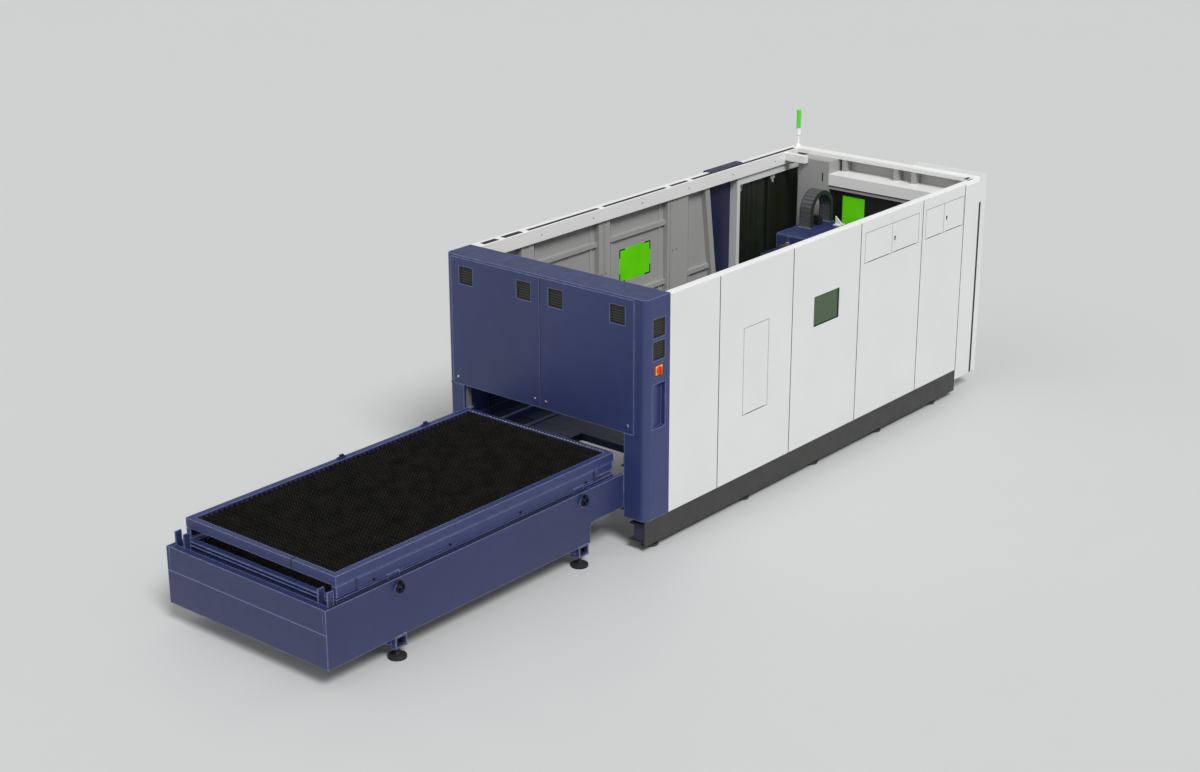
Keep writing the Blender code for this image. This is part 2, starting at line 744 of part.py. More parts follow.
def slat_pack():
    """Serrated slats across the pallet, held upright by comb bars along it."""
    half = PALLET_HALF - PALLET_SIDE_WIDTH - RUNNING
    first = PALLET_START + PALLET_END_WIDTH + SLAT_INSET
    last = PALLET_END - PALLET_END_WIDTH - SLAT_INSET
    pitch = (last - first) / (SLAT_COUNT - 1)
    outline = slat_outline(half)
    slats = []
    for k in range(SLAT_COUNT):
        x = first + k * pitch
        slats.append(prism(outline, "X", x - SLAT_THICKNESS / 2, x + SLAT_THICKNESS / 2))
    bottom = PALLET_BOTTOM + PALLET_LEDGE_THICKNESS + SEAT + 0.004
    bars = []
    for k in range(COMB_BARS):
        y = half * (2 * (k + 1) / (COMB_BARS + 1) - 1)
        reach = SLAT_INSET * 0.3
        bars.append(box(first - reach, last + reach, y - COMB_THICKNESS / 2, y + COMB_THICKNESS / 2,
                        bottom, bottom + COMB_HEIGHT))
    return boolean(joined(slats), bars, "UNION")


def joined(items):
    """Gather separate solids in one object, ready for a union that ties them."""
    bm = bmesh.new()
    for item in items:
        bm.from_mesh(item.data)
        mesh = item.data
        bpy.data.objects.remove(item)
        bpy.data.meshes.remove(mesh)
    return mesh_object("joined", bm)


def build_pallets(upper_body, lower_body):
    """Two like pallets, the lower one a pitch below the upper."""
    frame = pallet_frame()
    slats = slat_pack()
    for label, body, drop in (("upper", upper_body, 0.0), ("lower", lower_body, PALLET_PITCH)):
        for source, name, colour, rough in ((frame, "frame", BLUE, 0.45), (slats, "slats", SLAT, 0.6)):
            copy = bpy.data.objects.new(name, source.data.copy())
            bpy.context.collection.objects.link(copy)
            copy.data.transform(Matrix.Translation((0, 0, -drop)))
            node(copy, f"{label}_pallet_{name}", colour, body, roughness=rough)
    for source in (frame, slats):
        mesh = source.data
        bpy.data.objects.remove(source)
        bpy.data.meshes.remove(mesh)


# Portal

def flap_span(label):
    """Y range of a front flap."""
    if label == "near":
        return FLAP_NEAR_EDGE, FLAP_SEAM_Y - SEAM / 2
    return FLAP_SEAM_Y + SEAM / 2, FLAP_FAR_EDGE


def portal_outline():
    """Plan of the portal's box with its rounded front corners."""
    r = PORTAL_CORNER
    points = arc((PORTAL_FRONT + r, -HALF_WIDTH + r), r, 180, 270)
    points += [(PORTAL_BACK, -HALF_WIDTH), (PORTAL_BACK, HALF_WIDTH)]
    points += arc((PORTAL_FRONT + r, HALF_WIDTH - r), r, 90, 180)
    return points


def build_portal_frame():
    """Two legs under a head box, rebated for the flaps, pocketed on its near side."""
    frame = prism(portal_outline(), "Z", CABIN_BOTTOM, ROOF_TOP)
    opening = box(PORTAL_FRONT - 0.1, PORTAL_BACK + 0.1, -NEAR_LEG_INNER, FAR_LEG_INNER,
                  CABIN_BOTTOM - 0.1, ROOF_TOP - PORTAL_HEAD)
    rebate = box(PORTAL_FRONT - 0.1, PORTAL_FRONT + FLAP_THICKNESS + SEAT, FLAP_NEAR_EDGE - SEAM,
                 FLAP_FAR_EDGE + SEAM, FLAP_BOTTOM, FLAP_TOP + SEAT)
    cuts = [opening, rebate]
    for top in SIDE_VENT_TOPS:
        cuts.append(side_pocket(SIDE_VENT_X, VENT_SIZE, top - VENT_SIZE, top, VENT_DEPTH))
    cuts.append(hand_pocket())
    half = SWITCH_HEIGHT / 2
    cuts.append(side_pocket(SIDE_VENT_X, SWITCH_WIDTH, SWITCH_Z - half, SWITCH_Z + half, SWITCH_PLATE))
    cut(frame, cuts)
    node(frame, "portal_frame", BLUE, roughness=0.45)


def side_pocket(x, width, low, high, depth):
    """A cutter for a square recess in the near side of the portal."""
    half = width / 2
    return box(x - half, x + half, -HALF_WIDTH - 0.1, -HALF_WIDTH + depth, low, high)


def hand_pocket():
    """A cutter for the tall grip pocket, which deepens towards the panels."""
    x0 = SIDE_VENT_X - POCKET_WIDTH / 2
    x1 = SIDE_VENT_X + POCKET_WIDTH / 2
    face = -HALF_WIDTH
    plan = [(x0, face - 0.1), (x1, face - 0.1), (x1, face + POCKET_DEPTH), (x0, face + POCKET_SHALLOW)]
    return prism(plan, "Z", POCKET_BOTTOM, POCKET_TOP)


def vent_centres(label):
    """Y centres of the two vents of a front flap."""
    low, high = flap_span(label)
    half = VENT_SIZE / 2
    if label == "near":
        return low + VENT_OUTER_INSET + half, high - VENT_INNER_INSET - half
    return low + VENT_INNER_INSET + half, high - VENT_OUTER_INSET - half


def lock_centres(label):
    """Y centres of the two locks of a front flap."""
    low, high = flap_span(label)
    return low + LOCK_INSET, high - LOCK_INSET


def build_flap(label, body):
    """A folded front panel that swings up on its top edge, with pockets for two vents."""
    low, high = flap_span(label)
    back = PORTAL_FRONT + FLAP_THICKNESS
    flap = box(PORTAL_FRONT, back, low, high, FLAP_BOTTOM + SEAT, FLAP_TOP)
    pockets = []
    for y in vent_centres(label):
        half = VENT_SIZE / 2
        pockets.append(box(PORTAL_FRONT - 0.1, PORTAL_FRONT + VENT_DEPTH, y - half, y + half,
                           VENT_TOP - VENT_SIZE, VENT_TOP))
    cut(flap, pockets)
    node(flap, f"front_flap_{label}", BLUE, body, roughness=0.45)
    for number, y in enumerate(vent_centres(label), start=1):
        grille = vent_grille()
        place = Matrix.Translation((PORTAL_FRONT + VENT_DEPTH, y, VENT_TOP - VENT_SIZE / 2))
        grille.data.transform(place)
        node(grille, f"front_vent_{label}_{number}", BLACK, body, roughness=0.7)


def vent_grille():
    """A frame with slanted blades; its back lies in the plane X = 0 and it faces -X."""
    half = VENT_SIZE / 2 - SEAT
    depth = VENT_DEPTH - 0.004
    ring = box(-depth, -SEAT, -half, half, -half, half)
    inner = half - VENT_FRAME
    ring = cut(ring, [box(-depth - 0.01, -0.004, -inner, inner, -inner, inner)])
    pitch = 2 * inner / VENT_BLADES
    blades = []
    for k in range(VENT_BLADES):
        z = -inner + (k + 0.35) * pitch
        rise = pitch * 0.45
        outline = [(-0.0035, z + rise), (-0.0035, z + rise + VENT_BLADE), (-depth + 0.002, z + VENT_BLADE),
                   (-depth + 0.002, z)]
        blades.append(prism(outline, "Y", -inner - 0.002, inner + 0.002))
    return fuse([ring] + blades)


def build_side_vents():
    """Two grilles in the near side of the portal."""
    for number, top in enumerate(SIDE_VENT_TOPS, start=1):
        grille = vent_grille()
        place = Matrix.Translation((SIDE_VENT_X, -HALF_WIDTH + VENT_DEPTH, top - VENT_SIZE / 2))
        grille.data.transform(place @ Matrix.Rotation(math.pi / 2, 4, "Z"))
        node(grille, f"side_vent_{number}", BLACK, roughness=0.7)


def build_lock(name, y, body):
    """A quarter-turn lock on a flap's lower corner, with a key slot in its head."""
    head = lathe([(0, 0), (LOCK_RADIUS, 0), (LOCK_RADIUS, LOCK_HEIGHT * 0.7), (LOCK_RADIUS * 0.8, LOCK_HEIGHT),
                  (0, LOCK_HEIGHT)], (0, 0, 0), "X", 12)
    head.data.transform(Matrix.Translation((PORTAL_FRONT - SEAT, y, LOCK_Z)) @ Matrix.Rotation(math.pi, 4, "Z"))
    slot = box(PORTAL_FRONT - LOCK_HEIGHT - 0.01, PORTAL_FRONT - LOCK_HEIGHT + 0.003, y - 0.002, y + 0.002,
               LOCK_Z - LOCK_RADIUS * 0.6, LOCK_Z + LOCK_RADIUS * 0.6)
    cut(head, [slot])
    node(head, name, STEEL, body, roughness=0.3, metallic=1.0, smooth=True)


def build_switch(body):
    """The main switch: a yellow plate let into the leg and a red rotary handle."""
    half_x = SWITCH_WIDTH / 2 - SEAT
    half_z = SWITCH_HEIGHT / 2 - SEAT
    face = -HALF_WIDTH
    plate = box(SIDE_VENT_X - half_x, SIDE_VENT_X + half_x, face, face + SWITCH_PLATE - SEAT,
                SWITCH_Z - half_z, SWITCH_Z + half_z)
    node(plate, "switch_plate", YELLOW, roughness=0.4)
    reach = SIDE_REACH
    profile = [(0, SEAT), (SWITCH_KNOB, SEAT), (SWITCH_KNOB, reach * 0.4), (SWITCH_KNOB * 0.8, reach * 0.5),
               (0, reach * 0.5)]
    knob = lathe(profile, (SIDE_VENT_X, 0, SWITCH_Z), "Y")
    grip = box(SIDE_VENT_X - 0.008, SIDE_VENT_X + 0.008, reach * 0.4, reach, SWITCH_Z - SWITCH_KNOB * 0.95,
               SWITCH_Z + SWITCH_KNOB * 0.95)
    handle = fuse([knob, grip])
    turn = Matrix.Translation((SIDE_VENT_X, face, 0)) @ Matrix.Rotation(math.pi, 4, "Z")
    handle.data.transform(turn @ Matrix.Translation((-SIDE_VENT_X, 0, 0)))
    node(handle, "switch_handle", RED, body, roughness=0.4)


def shutter_x():
    """X of the shutter's front face."""
    return PORTAL_FRONT + SHUTTER_SETBACK


def build_shutter(body):
    """The lifting door behind the flaps, ribbed by shallow folds."""
    x = shutter_x()
    low = SHUTTER_BOTTOM
    high = low + SHUTTER_HEIGHT
    outline = [(x, low), (x, high), (x + SHUTTER_THICKNESS, high), (x + SHUTTER_THICKNESS, low)]
    sheet = prism(outline, "Y", -NEAR_LEG_INNER + SEAT, FAR_LEG_INNER - SEAT)
    grooves = []
    for k in range(3):
        z = low + SHUTTER_HEIGHT * (k + 1) / 4
        grooves.append(box(x - 0.01, x + 0.004, -NEAR_LEG_INNER + 0.05, FAR_LEG_INNER - 0.05, z - 0.012, z + 0.012))
    cut(sheet, grooves)
    node(sheet, "loading_shutter", GREY, body, roughness=0.5)


# Cabin, near side

def panel_edges():
    """X of the joints between the near wall panels, the portal's back first."""
    joints = [FIRST_PANEL_END + k * PANEL_PITCH for k in range(PANEL_COUNT - 1)]
    return [PORTAL_BACK] + joints + [REAR_START]


def hatch_pocket(x0, x1, low, high):
    """A cutter for a shallow rebate that a hatch leaf closes."""
    depth = HATCH_THICKNESS + SEAT
    return box(x0, x1, -HALF_WIDTH - 0.1, -HALF_WIDTH + depth, low, high)


def build_wall_panels():
    """Five sheet panels on the near side, with their hatch rebates and the window."""
    edges = panel_edges()
    window = NEAR_WINDOW
    hole = box(window[0], window[1], -HALF_WIDTH - 0.1, -PANEL_INNER + 0.1, window[2], window[3])
    step = PANE_REBATE
    rebate = box(window[0] - step, window[1] + step, -PANEL_INNER - PANE_THICKNESS, -PANEL_INNER + 0.1,
                 window[2] - step, window[3] + step)
    cuts = {
        2: [hatch_pocket(*SERVICE_HATCH)],
        3: [hole, rebate],
        4: [hatch_pocket(HATCH_FOUR[0], HATCH_FOUR[2], UPPER_HATCH_LOW, UPPER_HATCH_HIGH)],
        5: [hatch_pocket(HATCH_FIVE[0], HATCH_FIVE[2], UPPER_HATCH_LOW, UPPER_HATCH_HIGH)],
    }
    for number in range(1, PANEL_COUNT + 1):
        x0 = edges[number - 1] + SEAM / 2
        x1 = edges[number] - SEAM / 2
        if number == 1:
            x0 = PORTAL_BACK + SEAT
        panel = box(x0, x1, -HALF_WIDTH, -PANEL_INNER, CABIN_BOTTOM, PANEL_TOP)
        cut(panel, cuts.get(number, []))
        node(panel, f"wall_panel_{number}", WHITE, roughness=0.35)
    gap = SEAT
    pane = box(window[0] - step + gap, window[1] + step - gap, -PANEL_INNER - PANE_THICKNESS + gap, -PANEL_INNER,
               window[2] - step + gap, window[3] + step - gap)
    node(pane, "near_window", SMOKE_GLASS, roughness=0.08, alpha=0.6)


def build_hatch(name, x0, x1, low, high, body):
    """A flush hatch leaf with a small finger lip along its lower edge."""
    g = HATCH_GAP
    leaf = box(x0 + g, x1 - g, -HALF_WIDTH, -HALF_WIDTH + HATCH_THICKNESS, low + g, high - g)
    lip = box(x0 + 0.04, x1 - 0.04, -HALF_WIDTH - 0.01, -HALF_WIDTH + 0.004, low, low + 0.006)
    cut(leaf, [lip])
    node(leaf, name, WHITE, body, roughness=0.35)


# Roof frame, far side and rear

def build_roof_frame():
    """Posts and rail behind the near panels, the far top rail and the rear top rail."""
    y_outer = -PANEL_INNER + SEAT
    y_inner = y_outer + POST_DEPTH
    x0 = PORTAL_BACK + SEAT
    edges = panel_edges()
    rail_low = ROOF_TOP - NEAR_RAIL_HEIGHT
    pieces = [box(x0, REAR_BACK, y_outer, y_inner, rail_low, ROOF_TOP)]
    pieces.append(box(x0, REAR_START, y_outer, y_inner, CABIN_BOTTOM, CABIN_BOTTOM + POST_WIDTH))
    for x in edges[1:-1]:
        pieces.append(box(x - POST_WIDTH / 2, x + POST_WIDTH / 2, y_outer, y_inner, CABIN_BOTTOM + 0.01, ROOF_TOP - 0.01))
    end_post = box(REAR_START - POST_WIDTH, REAR_START - SEAT, y_outer, y_inner, CABIN_BOTTOM + 0.01, ROOF_TOP - 0.01)
    pieces.append(end_post)
    back_low = ROOF_TOP - REAR_RAIL_HEIGHT
    pieces.append(box(REAR_BACK - REAR_RAIL_DEPTH, REAR_BACK, y_outer + 0.005, HALF_WIDTH, back_low, ROOF_TOP))
    far_inner = HALF_WIDTH - FAR_RAIL_WIDTH
    pieces.append(box(x0, REAR_BACK, far_inner, HALF_WIDTH, FAR_RAIL_BOTTOM, ROOF_TOP))
    depth, reach, height = CORNER_BLOCK
    pieces.append(box(REAR_START - depth, REAR_START - SEAT, far_inner - reach, far_inner + 0.01,
                      ROOF_TOP - 0.010 - height, ROOF_TOP - 0.010))
    frame = fuse(pieces)
    groove_y = HALF_WIDTH - 0.082
    groove = box(x0 + 0.05, REAR_BACK - 0.1, groove_y - 0.004, groove_y + 0.004, ROOF_TOP - 0.006, ROOF_TOP + 0.01)
    cut(frame, [groove])
    node(frame, "roof_frame", WHITE, roughness=0.4)


def slant_x(z):
    """X of the slanted edge of the far wall at a height."""
    share = (ROOF_TOP - z) / (ROOF_TOP - CABIN_BOTTOM)
    return SLANT_TOP_X + (SLANT_BOTTOM_X - SLANT_TOP_X) * share


def build_far_wall():
    """The far wall: skin, posts, ribs, a slanted end post and a window."""
    x0 = PORTAL_BACK + SEAT
    top = FAR_RAIL_BOTTOM - SEAT
    skin_inner = HALF_WIDTH - FAR_SKIN
    outline = [(x0, CABIN_BOTTOM), (slant_x(CABIN_BOTTOM), CABIN_BOTTOM), (slant_x(top), top), (x0, top)]
    pieces = [prism(outline, "Y", skin_inner, HALF_WIDTH)]
    post_inner = skin_inner - FAR_POST_DEPTH
    for start, end in FAR_POSTS:
        pieces.append(box(start, end, post_inner, skin_inner + 0.01, CABIN_BOTTOM, top))
    outline = [
        (slant_x(CABIN_BOTTOM) - SLANT_POST_WIDTH, CABIN_BOTTOM), (slant_x(CABIN_BOTTOM), CABIN_BOTTOM),
        (slant_x(top), top), (slant_x(top) - SLANT_POST_WIDTH, top),
    ]
    pieces.append(prism(outline, "Y", post_inner, skin_inner + 0.01))
    half = FAR_RIB_HEIGHT / 2
    low_end = slant_x(FAR_RIB_LOW) - SLANT_POST_WIDTH / 2
    high_end = FAR_POSTS[-1][0] + 0.01
    for z, end in ((FAR_RIB_LOW, low_end), (FAR_RIB_HIGH, high_end)):
        pieces.append(box(x0, end, skin_inner - FAR_RIB_DEPTH, skin_inner + 0.01, z - half, z + half))
    wall = fuse(pieces)
    window = FAR_WINDOW
    hole = box(window[0], window[1], post_inner - 0.1, HALF_WIDTH + 0.1, window[2], window[3])
    step = PANE_REBATE
    rebate = box(window[0] - step, window[1] + step, skin_inner - 0.005, skin_inner + PANE_THICKNESS,
                 window[2] - step, window[3] + step)
    cut(wall, [hole, rebate])
    node(wall, "far_wall", GREY, roughness=0.45)
    gap = SEAT
    pane = box(window[0] - step + gap, window[1] + step - gap, skin_inner, skin_inner + PANE_THICKNESS - gap,
               window[2] - step + gap, window[3] + step - gap)
    node(pane, "far_window", GREEN_GLASS, roughness=0.1, alpha=0.7)


def build_accent_panel():
    """The slanted coloured panel beside the operator door; its flange folds over the top rail."""
    outer = HALF_WIDTH + SIDE_REACH
    inner = HALF_WIDTH + SEAT
    top = ROOF_TOP - 0.020
    flange_top = ROOF_TOP + SEAT + ACCENT_FLANGE
    outline = [
        (slant_x(CABIN_BOTTOM) - ACCENT_LAP, CABIN_BOTTOM), (ACCENT_END_X, CABIN_BOTTOM),
        (ACCENT_END_X, flange_top), (ACCENT_FLANGE_X, flange_top), (ACCENT_FLANGE_X, top),
        (slant_x(top) - ACCENT_LAP, top),
    ]
    panel = prism(outline, "Y", inner, outer)
    flange = box(ACCENT_FLANGE_X, ACCENT_END_X, HALF_WIDTH - ACCENT_FLANGE_REACH, inner + 0.01,
                 ROOF_TOP + SEAT, flange_top)
    node(fuse([panel, flange]), "accent_panel", BLUE, roughness=0.45)


def build_door_frame():
    """Posts and sill of the operator door with the track that its leaves hang in."""
    outer = HALF_WIDTH
    inner = outer - DOOR_POST_DEPTH
    top = FAR_RAIL_BOTTOM - SEAT
    start = DOOR_START_X - DOOR_POST_WIDTH
    pieces = [
        box(start, DOOR_START_X, inner, outer, CABIN_BOTTOM, top),
        box(DOOR_END_X, REAR_BACK - REAR_SKIN - SEAT, inner, outer, CABIN_BOTTOM, top),
        box(start + 0.01, DOOR_END_X + 0.01, inner, outer, CABIN_BOTTOM, CABIN_BOTTOM + DOOR_SILL),
        box(start + 0.01, DOOR_END_X + 0.01, inner, outer, top - TRACK_HEIGHT, top),
    ]
    frame = fuse(pieces)
    low = top - TRACK_HEIGHT
    grooves = [leaf_slot(k, low - 0.01, low + 0.02) for k in range(2)]
    cut(frame, grooves)
    node(frame, "door_frame", WHITE, roughness=0.4)


def leaf_centre_y(index):
    """Y of the middle of a door leaf; the first leaf runs nearer the outside."""
    outer = HALF_WIDTH - 0.020 - index * (LEAF_THICKNESS + LEAF_GAP)
    return outer - LEAF_THICKNESS / 2


def leaf_slot(index, low, high):
    """A cutter for the groove in the track that a leaf's top edge runs in."""
    y = leaf_centre_y(index)
    half = LEAF_THICKNESS / 4 + SEAT
    return box(DOOR_START_X, DOOR_END_X, y - half, y + half, low, high)


def leaf_width():
    """Width of a door leaf."""
    return (DOOR_END_X - DOOR_START_X - 2 * RUNNING + LEAF_LAP) / 2


def build_door_leaf(index, body):
    """A dark glazed leaf with upright ribs and a tongue that runs in the track."""
    width = leaf_width()
    x0 = DOOR_START_X + RUNNING + index * (width - LEAF_LAP)
    y = leaf_centre_y(index)
    low = CABIN_BOTTOM + DOOR_SILL + SEAT
    track = FAR_RAIL_BOTTOM - SEAT - TRACK_HEIGHT
    half = LEAF_THICKNESS / 2
    leaf = box(x0, x0 + width, y - half, y + half, low, track - RUNNING)
    tongue = box(x0 + 0.03, x0 + width - 0.03, y - half / 2, y + half / 2, track - 0.01, track + 0.02 - SEAT)
    fuse([leaf, tongue])
    grooves = []
    for k in (1, 2):
        x = x0 + width * k / 3
        for face in (-1, 1):
            grooves.append(box(x - 0.004, x + 0.004, y + face * (half + 0.01), y + face * (half - LEAF_RIB),
                               low + 0.03, track - 0.04))
    cut(leaf, grooves)
    node(leaf, f"door_leaf_{index + 1}", SMOKE_GLASS, body, roughness=0.25)


def build_rear_cabinet():
    """The white shell of the rear bay: back, two sides and floor."""
    x0 = REAR_START + SEAT
    wall = REAR_SKIN
    top = ROOF_TOP - REAR_RAIL_HEIGHT - SEAT
    far_low = CABIN_BOTTOM
    pieces = [
        box(REAR_BACK - wall, REAR_BACK, -HALF_WIDTH, HALF_WIDTH, REAR_BOTTOM, top),
        box(x0, REAR_BACK, -HALF_WIDTH, -HALF_WIDTH + wall - SEAT, REAR_BOTTOM, top),
        box(x0, REAR_BACK, -HALF_WIDTH, HALF_WIDTH, REAR_BOTTOM, REAR_BOTTOM + wall),
    ]
    shell = fuse(pieces)
    block = box(REAR_BACK - wall - 0.001, DOOR_END_X - 0.1, HALF_WIDTH - FAR_RAIL_WIDTH - SEAT, HALF_WIDTH + 0.1,
                far_low - 0.01, top + 0.1)
    rail_clear = box(REAR_BACK - wall - 0.01, REAR_BACK + 0.1, HALF_WIDTH - FAR_RAIL_WIDTH - SEAT,
                     HALF_WIDTH + 0.1, FAR_RAIL_BOTTOM - SEAT, top + 0.1)
    near_clear = box(x0 - 0.1, REAR_BACK + 0.1, -PANEL_INNER - SEAT, -PANEL_INNER + POST_DEPTH + 2 * SEAT,
                     ROOF_TOP - NEAR_RAIL_HEIGHT - SEAT, ROOF_TOP + 0.1)
    cut(shell, [block, rail_clear, near_clear])
    node(shell, "rear_cabinet", WHITE, roughness=0.35)


def build_rear_frame():
    """The inner beam of the rear bay, its short posts and the folded far column."""
    x0 = REAR_START + SEAT
    skin = COLUMN_SKIN
    near = COLUMN_INNER_Y
    far = COLUMN_OUTER_Y
    back = REAR_BACK - REAR_SKIN - SEAT
    foot = REAR_BOTTOM + REAR_SKIN + SEAT
    top = ROOF_TOP - REAR_RAIL_HEIGHT - SEAT
    plan = [
        (x0, near), (back, near), (back, near + skin), (x0 + skin, near + skin), (x0 + skin, far - skin),
        (back, far - skin), (back, far), (x0, far),
    ]
    beam_end = -PANEL_INNER + POST_DEPTH + 2 * SEAT
    pieces = [
        prism(plan, "Z", foot, top),
        box(x0, back, near, far, top - skin, top),
        box(x0, x0 + REAR_BEAM_DEPTH, beam_end, near + skin / 2, REAR_BEAM_BOTTOM, REAR_BEAM_TOP),
    ]
    for y in REAR_POST_Y:
        half = REAR_POST_WIDTH / 2
        pieces.append(box(back - REAR_POST_DEPTH, back, y - half, y + half, REAR_BEAM_TOP - 0.01, top))
    pieces.append(box(x0 + REAR_BEAM_DEPTH / 2, back, beam_end, near + skin / 2, REAR_BEAM_TOP - 0.02, REAR_BEAM_TOP))
    frame = fuse(pieces)
    slot_y = near + COLUMN_SLOT_INSET
    slot = box(x0 - 0.05, x0 + COLUMN_SKIN / 2, slot_y, slot_y + COLUMN_SLOT, REAR_BEAM_BOTTOM + 0.025, REAR_BEAM_TOP)
    cut(frame, [slot])
    node(frame, "rear_frame", WHITE, roughness=0.4)


def rear_window_span():
    """Y range and Z range of the window in the dark wall."""
    far = COLUMN_INNER_Y - REAR_WINDOW_INSET
    return far - REAR_WINDOW_WIDTH, far, REAR_WINDOW_TOP - REAR_WINDOW_HEIGHT, REAR_WINDOW_TOP


def build_rear_inner_wall():
    """The dark wall below the rear beam, with its window."""
    x0 = INNER_WALL_X
    x1 = x0 + INNER_WALL_THICKNESS
    y0 = -PANEL_INNER + POST_DEPTH + 2 * SEAT
    y1 = COLUMN_INNER_Y - SEAT
    wall = box(x0, x1, y0, y1, REAR_BOTTOM + REAR_SKIN + SEAT, REAR_BEAM_BOTTOM - SEAT)
    window = rear_window_span()
    hole = box(x0 - 0.1, x1 + 0.1, window[0], window[1], window[2], window[3])
    step = PANE_REBATE
    rebate = box(x0 - 0.1, x0 + PANE_THICKNESS, window[0] - step, window[1] + step, window[2] - step, window[3] + step)
    cut(wall, [hole, rebate])
    node(wall, "rear_inner_wall", BLACK, roughness=0.6)
    gap = SEAT
    pane = box(x0, x0 + PANE_THICKNESS - gap, window[0] - step + gap, window[1] + step - gap,
               window[2] - step + gap, window[3] + step - gap)
    node(pane, "rear_window", GREEN_GLASS, roughness=0.1, alpha=0.7)


def build_rear_door(body):
    """The thick cabinet door on the back, with a recessed field."""
    x0 = REAR_BACK + SEAT
    door = box(x0, HALF_LENGTH, -HALF_WIDTH, REAR_DOOR_EDGE_Y, REAR_BOTTOM, REAR_DOOR_TOP)
    reveal = box(x0 - 0.01, x0 + 0.014, -HALF_WIDTH - 0.01, -HALF_WIDTH + 0.03, REAR_BOTTOM + 0.012, REVEAL_TOP)
    margin = 0.06
    field = box(HALF_LENGTH - REAR_DOOR_RECESS, HALF_LENGTH + 0.1, -HALF_WIDTH + margin, REAR_DOOR_EDGE_Y - margin,
                REAR_BOTTOM + margin, REAR_DOOR_TOP - margin)
    cut(door, [reveal, field])
    node(door, "rear_door", WHITE, body, roughness=0.35)


def build_stack_light():
    """A signal lamp on the far rear corner."""
    centre = (LIGHT_X, LIGHT_Y, 0)
    base = ROOF_TOP + SEAT
    stem_low = base + LIGHT_BASE_HEIGHT + 0.014
    profile = [
        (0, base), (LIGHT_BASE, base), (LIGHT_BASE, base + LIGHT_BASE_HEIGHT), (LIGHT_STEM, stem_low),
        (LIGHT_STEM, COLLAR_BOTTOM), (LENS_RADIUS, COLLAR_BOTTOM + 0.008), (LENS_RADIUS, LENS_BOTTOM - SEAT),
        (0, LENS_BOTTOM - SEAT),
    ]
    node(lathe(profile, centre), "stack_light_stem", WHITE, roughness=0.4, smooth=True)
    profile = [
        (0, LENS_BOTTOM), (LENS_RADIUS, LENS_BOTTOM), (LENS_RADIUS, LIGHT_TOP - 0.008),
        (LENS_RADIUS * 0.75, LIGHT_TOP), (0, LIGHT_TOP),
    ]
    node(lathe(profile, centre), "stack_light_lens", GREEN_GLASS, roughness=0.2, smooth=True)


# Plinth and bed

def build_plinth(side):
    """A skirt backed by a channel beam, with its levelling feet screwed in."""
    skin_inner = HALF_WIDTH - PLINTH_SKIN
    top = CABIN_BOTTOM - SEAT
    x0 = PORTAL_FRONT
    x1 = REAR_START - SEAT
    outline = [
        (HALF_WIDTH, PLINTH_BOTTOM), (HALF_WIDTH, top), (skin_inner, top), (skin_inner, CHANNEL_TOP),
        (CHANNEL_INNER, CHANNEL_TOP), (CHANNEL_INNER, CHANNEL_TOP - CHANNEL_FLANGE),
        (skin_inner, CHANNEL_TOP - CHANNEL_FLANGE), (skin_inner, CHANNEL_BOTTOM + CHANNEL_FLANGE),
        (CHANNEL_INNER, CHANNEL_BOTTOM + CHANNEL_FLANGE), (CHANNEL_INNER, CHANNEL_BOTTOM),
        (skin_inner, CHANNEL_BOTTOM), (skin_inner, PLINTH_BOTTOM),
    ]
    skirt = prism([(side * y, z) for y, z in outline], "X", x0, x1)
    feet = [lathe(foot_profile(CHANNEL_BOTTOM + CHANNEL_FLANGE / 2), (x, side * PLINTH_FOOT_Y, 0))
            for x in PLINTH_FEET_X]
    fuse([skirt] + feet)
    node(skirt, f"plinth_{side_name(side)}", DARK, roughness=0.55)


def build_bed():
    """The bed: two walls, cross members, pallet rails, ties to the table and linear guides."""
    outer = CHANNEL_INNER - SEAT
    pieces = []
    for x in BED_CROSS_X:
        half = BED_CROSS / 2
        pieces.append(box(x - half, x + half, -outer + 0.01, outer - 0.01, BED_BOTTOM, BED_BOTTOM + BED_CROSS_HEIGHT))
    for side in (-1, 1):
        pieces.append(box(BED_START, BED_END, side * BED_WALL_INNER, side * outer, BED_BOTTOM, BED_TOP))
        pieces.append(track(side, BED_RAIL_START, BED_RAIL_END))
        tie_outer = side * (BED_WALL_INNER + TIE_THICKNESS)
        pieces.append(box(TABLE_END + SEAT, BED_START + 0.02, side * (BED_WALL_INNER + 0.001), tie_outer,
                          TIE_BOTTOM, TIE_TOP))
        guide_outer = side * (outer - GUIDE_INSET)
        guide_inner = side * (outer - GUIDE_INSET - GUIDE_WIDTH)
        pieces.append(box(BED_START + 0.02, BED_END - 0.02, guide_inner, guide_outer, BED_TOP - 0.005, GUIDE_TOP))
    reach = BED_WALL_INNER + TIE_THICKNESS / 2
    pieces.append(box(APRON_X, APRON_X + APRON_THICKNESS, -reach, reach, APRON_BOTTOM, TIE_TOP - 0.005))
    plate_top = RAIL_BOTTOM + RAIL_FLANGE - 0.001
    wide = BED_WALL_INNER + 0.005
    pieces.append(box(BRIDGE_START, BRIDGE_END, -wide, wide, plate_top - BRIDGE_THICKNESS, plate_top))
    bed = fuse(pieces)
    node(bed, "machine_bed", BLUE, roughness=0.5)


def build_shuttle_drive():
    """The stepped cover of the pallet drive: a folded lid that stands on the bed's bridge."""
    low = RAIL_BOTTOM + RAIL_FLANGE - 0.001 + SEAT
    high = low + DRIVE_HEIGHT
    plan = drive_plan(0.0)
    lid = prism(plan, "Z", low, high)
    hollow = prism(drive_plan(DRIVE_WALL), "Z", low - 0.1, high - DRIVE_WALL)
    cut(lid, [hollow])
    node(lid, "shuttle_drive", BLUE, roughness=0.5)


